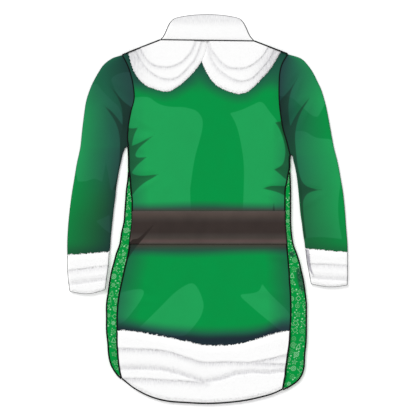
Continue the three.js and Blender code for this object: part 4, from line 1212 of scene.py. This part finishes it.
# Soft folds round each cuff: a line of x, y, and the side that laps over it
CUFF_FOLDS = {
    "left": [
        ([(-337, -148), (-280, -141), (-236, -136)], 1),
        ([(-333, -183), (-280, -176), (-243, -171)], -1),
    ],
    "right": [
        ([(236, -132), (285, -133), (337, -136)], 1),
        ([(241, -166), (290, -169), (337, -172)], -1),
    ],
}
# A crease of the right sleeve runs on over its cuff as painted shade: x, y
CUFF_CREASE = [
    (233, -95), (243, -96), (244, -108), (246, -125), (249, -143), (254.5, -161), (245, -148), (241, -137),
    (237, -115),
]


def cuff_shade(side):
    """Painted shade in the two folds, and in the crease on the right cuff."""
    def shade(x, y):
        """The stronger of the folds and the crease."""
        crease = soft_step(inside_distance(x, y, CUFF_CREASE), -1.5, 1.5) if side == "right" else 0 * x
        return np.maximum(CUFF_FOLD_SHADE * fold_depths(x, y, CUFF_FOLDS[side]), crease)
    return shade


def between_ends(rows, across):
    """Level lines between the left and the right end of each row."""
    u = across[None, :, None]
    return (1 - u) * rows[:, None, :2] + u * rows[:, None, 2:4]


cuffs = {}
cuff_piles = {}
for side in ("left", "right"):
    across = np.concatenate([[0], np.linspace(0.07, 0.93, 40), [1]])
    down = np.linspace(0, 1, CUFF_ROWS)
    rows = along(CUFFS[side], down)
    plan = between_ends(rows, across)
    plan[..., 1] -= rows[:, None, 4] * np.sin(math.pi * across)[None]
    plan[0, :, 1] -= HALF_GAP
    rim = (soft_step(down, -0.02, 0.14) * soft_fall(down, 0.9, 1.04))[:, None]
    shade = cuff_shade(side)

    def cuff_top(x, y, side=side):
        """Plush face less the folds."""
        return CUFF_TOP - PILE - CUFF_FOLD_DEPTH * fold_depths(x, y, CUFF_FOLDS[side])

    outside = tube(plan, even(0), cuff_top, 0.0)
    height = outside[..., 2]
    rounded_height = RIM_START + (height - RIM_START) * (RIM_SHARE + (1 - RIM_SHARE) * rim)
    outside[..., 2] = np.where(height > RIM_START, rounded_height, height)
    inside = tube(plan, even(PLUSH_UNDER_WALL), even(BAND_UNDER), PLUSH_UNDER_WALL)
    cuff = wall(f"cuff_plush_{side}", outside, inside, ring=True, fields=greyed(shade))
    cuff.data.materials.append(plush)
    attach(cuff, "root")
    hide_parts(f"cuff_{side}")
    top_face = outside[:, 3 : len(TUBE_TURNS) + len(across) + 2]
    clear_face = top_face[:-2, 4:-4]
    clear_greys = shade(*clear_face[..., :2].transpose(2, 0, 1))
    face_pile = surface_tufts(clear_face, clear_greys, *CUFF_FACE_PILE)
    edge_pile = edge_tufts(top_face[0], *CUFF_EDGE_PILE)
    cuff_piles[side] = tufts(f"cuff_pile_{side}", *gather(face_pile, edge_pile))
    cuffs[side] = cuff


# Stand collar
# One ring of plush, folded flat at both ends, that stands up from the neck seam and bows up in the middle.
STAND_TOP = 11.2
STAND_PILE = 1.4
STAND_ROWS = 26
STAND_FACE_PILE = (1500, math.pi / 2, 3.0, 0.85)
BOW_POWER = 0.6
# Ends from the top down: left x, left y, right x, right y, bow
STAND = [
    (-83, 455, 80, 455, 12.5), (-90.5, 447, 87, 447, 11), (-95.5, 438, 92, 438, 9), (-99.5, 429, 96, 429, 7),
    (-103, 421, 99.5, 421, 5), (-108, 412.5, 104.5, 412.5, 3), (-114, 406, 113, 403, 0),
]


def stand_shade(x, y):
    """Soft painted grey shade that grows in two S curves towards the top edge."""
    return 0.2 * soft_step(y, 434, 456) + 0.12 * soft_step(y, 456, 470)


stand_across = np.concatenate([[0], np.linspace(0.045, 0.955, 60), [1]])
stand_rows = along(STAND, np.linspace(0, 1, STAND_ROWS))
stand_plan = between_ends(stand_rows, stand_across)
stand_plan[..., 1] += stand_rows[:, None, 4] * (np.sin(math.pi * stand_across) ** BOW_POWER)[None]
stand_plan[-1, :, 1] += SEAM_GAP
stand_outer = tube(stand_plan, even(0), even(STAND_TOP - STAND_PILE), 0.0)
stand_inner = tube(stand_plan, even(PLUSH_UNDER_WALL), even(BAND_UNDER), PLUSH_UNDER_WALL)
stand = wall("stand_plush", stand_outer, stand_inner, ring=True, fields=greyed(stand_shade))
stand.data.materials.append(plush)
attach(stand, "root")
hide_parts("stand_collar")
stand_face = stand_outer[2:, len(TUBE_TURNS) : len(TUBE_TURNS) + len(stand_across) - 2]
stand_greys = stand_shade(*stand_face[..., :2].transpose(2, 0, 1))
stand_pile = tufts("stand_pile", *surface_tufts(stand_face, stand_greys, *STAND_FACE_PILE))


# Collar lobes
# Two scalloped lobes of plush spread from the neck corners over the back, each with two smaller tiers sewn
# on it. Two plain lobes lie on the hidden front in the same way.
LOBE_UNDER = BACK_TOP + SEAM_GAP
LOBE_RIM = 3.4
LOBE_TIER_STEP = 1.5
LOBE_PILE = 1.2
LOBE_EDGE_DROP = 1.4
TIER_EDGE = 0.012
# Strength of the painted shade below the tier edges and at the lobes' shoulder ends
TIER_SHADE = 0.25
END_SHADE = 0.42
FRONT_LOBE_SHARE = 0.7
LOBE_RAYS = 120
LOBE_RINGS = 48
LOBE_FACE_PILE = (2600, -math.pi / 2, 2.6, 0.75)
LOBE_EDGE_PILE = (1, 1000, 2.8, 0.75)
# Edges of the two smaller tiers of each lobe, in the order of its rim: x, y
LOBE_TIERS = [
    [
        [(-160, 382), (-154, 371), (-148, 362), (-140, 353), (-129, 346), (-120, 343), (-106, 341),
         (-93, 341), (-81, 344), (-69, 349), (-58, 356), (-50, 365), (-42, 374), (-36, 385), (-31, 397)],
        [(-171, 378), (-166, 367), (-160, 356), (-152, 344), (-140, 332), (-129, 324), (-117, 317),
         (-105, 313), (-92, 312), (-78, 314), (-66, 321), (-54, 332), (-44, 343), (-34, 355),
         (-27, 368), (-21, 383), (-16, 397)],
    ],
    [
        [(4, 398), (10, 382), (18, 370), (27, 359), (36, 350), (46, 343), (57, 339), (70, 338),
         (84, 338), (96, 341), (108, 347), (120, 356), (130, 365), (138, 376), (144, 386)],
        [(1, 395), (4, 379), (9, 364), (16, 349), (27, 335), (39, 325), (51, 317), (66, 310), (81, 307),
         (90, 308), (102, 312), (114, 320), (126, 332), (136, 344), (146, 356), (153, 368), (158, 380)],
    ],
]


def evened(line, reach=5):
    """A line with its corners eased: each point is the weighted mean of its neighbours, the ends kept."""
    weights = np.hanning(2 * reach + 3)[1:-1]
    padded = np.pad(line, ((reach, reach), (0, 0)), mode="reflect", reflect_type="odd")
    return np.stack([np.convolve(column, weights / weights.sum(), "valid") for column in padded.T], -1)


def ray_shares(centre, rim, line):
    """How far out a line crosses each ray from the centre to the rim, read by their angles at the centre."""
    rim_reach = np.hypot(*(rim - centre).T)
    line_reach = np.hypot(*(line - centre).T)
    rim_angle = np.arctan2(*(rim - centre).T[::-1]) % (2 * math.pi)
    line_angle = np.arctan2(*(line - centre).T[::-1]) % (2 * math.pi)
    return np.interp(rim_angle, line_angle, line_reach) / rim_reach


lobes = {}
lobe_piles = {}
for index, side in enumerate(("left", "right")):
    centre = np.array(LOBE_RIMS[index][0], float)
    turn = np.linspace(0, 1, LOBE_RAYS)
    rim = evened(along(LOBE_RIMS[index][1:], turn))
    tiers = [ray_shares(centre, rim, along(line, turn)) for line in LOBE_TIERS[index]]
    shares = np.linspace(0.004, 1, LOBE_RINGS)[:, None]
    lobe_plan = centre + shares[..., None] * (rim - centre)[None]
    heights = LOBE_UNDER + LOBE_RIM - LOBE_PILE
    tier_shade = 0
    for past in (shares - tier[None] for tier in tiers):
        heights = heights + LOBE_TIER_STEP * soft_fall(past, -TIER_EDGE, TIER_EDGE)
        tier_shade = np.maximum(tier_shade, bell(past, 0, np.where(past < 0, 0.014, 0.05)))
    heights = heights - LOBE_EDGE_DROP * soft_step(shares, 0.95, 1.0)
    shoulder_end = 1 - turn if index else turn
    end_shade = END_SHADE * bell(shoulder_end[None], 0, 0.2) * soft_step(shares, 0.3, 0.95)
    grid_shade = together(TIER_SHADE * tier_shade, end_shade)

    def lobe_fields(x, y, grid_shade=grid_shade):
        """Painted grey shade along the tier edges and at the two ends of the lobe."""
        return {"shade": np.concatenate([grid_shade.ravel(), grid_shade.ravel()])}

    lobe_outer = np.dstack([lobe_plan, heights])
    lobe_inner = raise_plan(lobe_plan, even(LOBE_UNDER))
    lobe = wall(f"lobe_plush_{side}", lobe_outer, lobe_inner, fields=lobe_fields)
    face_pile = surface_tufts(lobe_outer, grid_shade, *LOBE_FACE_PILE)
    edge_pile = edge_tufts(lobe_outer[-1], *LOBE_EDGE_PILE)
    lobe_piles[side] = tufts(f"lobe_pile_{side}", *gather(face_pile, edge_pile))
    front_plan = centre + np.linspace(0.04, FRONT_LOBE_SHARE, 24)[:, None, None] * (rim[::2] - centre)[None]
    front_outer = raise_plan(front_plan, even(FRONT_LOBE_THICK))
    front_name = f"front_lobe_plush_{side}"
    front_lobe = wall(front_name, front_outer, front_outer * (1, 1, 0), fields=greyed(even(0)))
    for piece, node in ((lobe, f"collar_lobe_{side}"), (front_lobe, f"front_lobe_{side}")):
        piece.data.materials.append(plush)
        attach(piece, "root")
        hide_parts(node)
    lobes[side] = lobe


# Belt
# A dark brown leatherette strip laid over the back and sewn into the side seams, with a plain one on the
# hidden front. Painted shade darkens it along its middle and painted highlights light its edges, and it is
# creased at the left with painted shade in the crease.
BELT_THICK = 2.2
BELT_CROWN = 0.9
BELT_ROWS = 28
BELT_COLUMNS = 110
# Colour down the belt, painted highlights at both edges and painted shade along the middle: share from the
# upper edge, red, green, blue
BELT_PAINTED_LIGHT = [
    (0.0, 81, 73, 69), (0.09, 79, 68, 63), (0.18, 70, 61, 56), (0.27, 60, 52, 49), (0.36, 54, 45, 42),
    (0.64, 54, 45, 42), (0.73, 63, 56, 53), (0.82, 70, 63, 58), (0.91, 90, 73, 71), (1.0, 77, 74, 68),
]
# Painted shade in the crease across the belt at the left
BELT_CREASE_SHADE = linear(45, 37, 34)

leather, leather_tree, leather_shader = new_material("belt_leather")
leather_place = object_place(leather_tree)
leather_grain = add_node(leather_tree, "ShaderNodeTexVoronoi", {"Vector": leather_place, "Scale": 620.0})
# The painted light down the belt, from its table
leather_painted_light = add_node(leather_tree, "ShaderNodeValToRGB", {"Fac": field_node(leather_tree, "belt_share")})
while len(leather_painted_light.color_ramp.elements) < len(BELT_PAINTED_LIGHT):
    leather_painted_light.color_ramp.elements.new(0.5)
for element, (place, red, green, blue) in zip(leather_painted_light.color_ramp.elements, BELT_PAINTED_LIGHT):
    element.position = place
    element.color = linear(red, green, blue)
leather_cloud = noise_node(leather_tree, leather_place, 30.0, 4.0)
leather_value = spread(leather_tree, leather_cloud, 0.3, 0.7, 0.92, 1.08)
leather_colour = toned(leather_tree, leather_painted_light.outputs["Color"], leather_value)
leather_crease_shade = ramp(leather_tree, field_node(leather_tree, "crease_mm"), -0.8, 1.0)
leather_paint = blend(leather_tree, leather_crease_shade, leather_colour, BELT_CREASE_SHADE)
leather_height = leather_grain.outputs["Distance"]
leather_looks = {"Roughness": 0.55, "Specular IOR Level": 0.1}
finish_shader(leather_tree, leather_shader, leather_paint, leather_height, 0.25, 0.0003, leather_looks)


def belt_strip(name, low, thick, crown):
    """Level strip between the side seams, its crown a power of a sine down it, its crease pressed in."""
    shares = np.linspace(0, 1, BELT_ROWS)
    y = np.linspace(BELT_HIGH, BELT_LOW, BELT_ROWS)
    left, right = seam_x("left", y)[:, None] + HALF_GAP, seam_x("right", y)[:, None] - HALF_GAP
    x = left + (right - left) * np.linspace(0, 1, BELT_COLUMNS)[None]
    down, rows_y = (np.broadcast_to(rows[:, None], x.shape) for rows in (shares, y))
    pressed = best_of(x, rows_y, CREASE_SHAPES[-1:])
    top = low + thick - crown * (1 - np.sin(math.pi * (0.08 + 0.84 * down)) ** 0.35)
    top = top - 0.5 * crown * soft_step(pressed, -3, 4)
    fields = {"belt_share": np.tile(down.ravel(), 2), "crease_mm": np.tile(pressed.ravel(), 2)}
    plan = np.dstack([x, rows_y])
    return wall(name, np.dstack([plan, top]), raise_plan(plan, even(low)), fields=lambda x, y: fields)


belt_back = belt_strip("belt_strip_back", BACK_TOP + SEAM_GAP, BELT_THICK, BELT_CROWN)
belt_front = belt_strip("belt_strip_front", 0.0, FRONT_BELT_THICK, 0.0)
for piece, node in ((belt_back, "belt_back"), (belt_front, "belt_front")):
    piece.data.materials.append(leather)
    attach(piece, "root")
    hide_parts(node)


# Seam threads
# The seams are overlocked in black: raised lines of thread along armholes, side seams, shoulders, collar
# and hem, and finer grey ones along the cuff ends and the top of the stand collar.
THREAD_BLACK = linear(12, 14, 14)
THREAD_GREY = linear(120, 122, 124)
STITCH_STEP = 1.6
STITCH_SWELL = 0.12
BLACK_WIDTH = 3.8
ARMHOLE_WIDTH = 2.8
SHOULDER_WIDTH = 3.3
NECK_WIDTH = 2.8
NECK_HEIGHT = 12.3
NECK_GREY = 0.1
HEM_HEIGHT = 8.2
FOLD_THREAD_START = 88
FOLD_INWARDS = 1.9
FINE_WIDTH = 1.3
FINE_INWARDS = 0.8
FINE_GREY = 0.35
CUFF_THREAD_HEIGHT = 8.8
STAND_WIDTH = 2.0
STAND_END_HEIGHT = 9.0
STAND_EDGE_WIDTH = 0.9
STAND_EDGE_HEIGHT = 10.2

thread, thread_tree, thread_shader = new_material("seam_thread")
thread_wave = noise_node(thread_tree, object_place(thread_tree), 1200.0, 1.0)
thread_colour = blend(thread_tree, field_node(thread_tree, "grey"), THREAD_BLACK, THREAD_GREY)
thread_looks = {"Roughness": 0.8, "Specular IOR Level": 0.1}
finish_shader(thread_tree, thread_shader, thread_colour, thread_wave, 0.5, 0.0004, thread_looks)


def thread_tube(line, width, height, grey):
    """Thread along a line of points: a closed six-sided oval tube that swells at each stitch by a sine."""
    steps = np.linalg.norm(np.diff(line, axis=0), axis=1)
    travelled = np.concatenate([[0], np.cumsum(steps)])
    places = np.arange(0, travelled[-1], STITCH_STEP)
    centre = np.stack([np.interp(places, travelled, line[:, axis]) for axis in range(3)], -1)
    run = np.gradient(centre, axis=0)
    run /= np.linalg.norm(run, axis=1, keepdims=True)
    side = np.stack([-run[:, 1], run[:, 0], np.zeros(len(run))], -1)
    swell = 1 + STITCH_SWELL * np.sin(places * 2.1)[:, None, None]
    angles = np.radians(np.arange(0, 360, 60))
    aside = width / 2 * np.cos(angles)[None, :, None] * side[:, None]
    upward = height / 2 * np.sin(angles)[None, :, None] * np.array([0, 0, 1.0])
    points = (centre[:, None] + swell * (aside + upward)).reshape(-1, 3)
    count, sides = len(centre), len(angles)
    number = np.arange(count * sides).reshape(count, sides)
    after = np.roll(number, -1, 1)
    skin = np.stack([number[:-1], number[1:], after[1:], after[:-1]], -1).reshape(-1, 4)
    cap_first = np.array([[0, 1, 2, 3], [0, 3, 4, 5]])
    cap_last = cap_first[:, ::-1] + (count - 1) * sides
    return points, np.vstack([skin, cap_first, cap_last]), np.full(len(points), grey, float)


def on_back(plan, lift):
    """A flat line laid on the back's upper face, raised by a lift."""
    return np.column_stack([plan, back_top(plan[:, 0], plan[:, 1]) + lift])


def at_height(plan, height):
    """A flat line at one height."""
    return np.column_stack([plan, np.full(len(plan), height)])


fine = np.linspace(0, 1, 300)
lines = []
for side in ("left", "right"):
    lines.append((on_back(armhole(side, fine), 0.1), ARMHOLE_WIDTH, 1.6, 0.0))
    start = ARMHOLES[-1][1 if side == "left" else 3]
    end = HEM_CURVES[0 if side == "left" else -1][2]
    seam_y = start + (end - start) * fine
    seam_place = seam_x(side, seam_y) + OUTWARD[side] * 1.2 * soft_step(seam_y, 84, 104)
    seam_line = on_back(np.stack([seam_place, seam_y], -1), 0.2)
    seam_line[:, 2] += 1.2 * plateau(seam_y, BELT_LOW, BELT_HIGH, -2, 4)
    seam_line[:, 2] += 4.2 * soft_fall(seam_y, BAND_START - 9, BAND_START + 3)
    lines.append((seam_line, BLACK_WIDTH, 1.6, 0.0))
    fold_y = FOLD_THREAD_START + (SIDE_ENDS[side][1] - FOLD_THREAD_START) * fine
    fold_place = np.stack([fold_x(side, fold_y) - OUTWARD[side] * FOLD_INWARDS, fold_y], -1)
    fold_place = np.vstack([fold_place, [seam_x(side, end), end]])
    lines.append((on_back(fold_place, 0.35), BLACK_WIDTH, 1.8, 0.0))
left_end, right_start = (shoulder_x[1:3] - shoulder_x[0]) / (shoulder_x[-1] - shoulder_x[0])
for span in (left_end * fine, right_start + (1 - right_start) * fine):
    shoulder = top_edge(span)
    from_neck = -np.abs(shoulder[:, 0])
    shoulder_line = on_back(shoulder, 0.0)
    shoulder_line[:, 2] += 4.6 * soft_step(from_neck, -198, -188) + 1.2 * soft_step(from_neck, -180, -140)
    lines.append((shoulder_line, SHOULDER_WIDTH, 1.6, 0.0))
neck_plan = straight(NECK_LEFT, NECK_RIGHT)(fine)
lines.append((at_height(neck_plan, NECK_HEIGHT), NECK_WIDTH, 1.8, NECK_GREY))
lines.append((at_height(hem_edge(fine, 1.5), HEM_HEIGHT), BLACK_WIDTH, 2.2, 0.0))
for side in ("left", "right"):
    cuff_ends = along(CUFFS[side], fine)
    last = cuff_ends[-1]
    low_x = last[0] + (last[2] - last[0]) * fine
    low_y = last[1] + (last[3] - last[1]) * fine - last[4] * np.sin(math.pi * fine) + FINE_INWARDS
    left_plan, right_plan = cuff_ends[:, :2] + (FINE_INWARDS, 0), cuff_ends[:, 2:4] - (FINE_INWARDS, 0)
    for plan in (left_plan, right_plan, np.stack([low_x, low_y], -1)):
        lines.append((at_height(plan, CUFF_THREAD_HEIGHT), FINE_WIDTH, 1.2, FINE_GREY))
stand_ends = along(STAND, fine)
for plan in (stand_ends[:, :2] + (FINE_INWARDS, 0), stand_ends[:, 2:4] - (FINE_INWARDS, 0)):
    lines.append((at_height(plan, STAND_END_HEIGHT), STAND_WIDTH, 1.4, NECK_GREY))
stand_high = straight(STAND[0][:2], STAND[0][2:4])(fine)
stand_high[:, 1] += STAND[0][4] * np.sin(math.pi * fine) ** BOW_POWER - FINE_INWARDS
lines.append((at_height(stand_high, STAND_EDGE_HEIGHT), STAND_EDGE_WIDTH, 1.0, FINE_GREY))
parts = [thread_tube(*line) for line in lines]
points, faces, greys = zip(*parts)
starts = np.cumsum([0] + [len(group) for group in points])
moved_faces = np.vstack([group + start for group, start in zip(faces, starts)])
threads = build_mesh("seam_threads", np.vstack(points), moved_faces, {"grey": np.concatenate(greys)})
threads.data.materials.append(thread)
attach(threads, "root")


# Cuffs and lobes with their pile
# Every panel is a sheet of cloth lying on the one below it.
for side in ("left", "right"):
    cuff, pile = cuffs[side], [cuff_piles[side]]
    lobe, pile = lobes[side], [lobe_piles[side]]
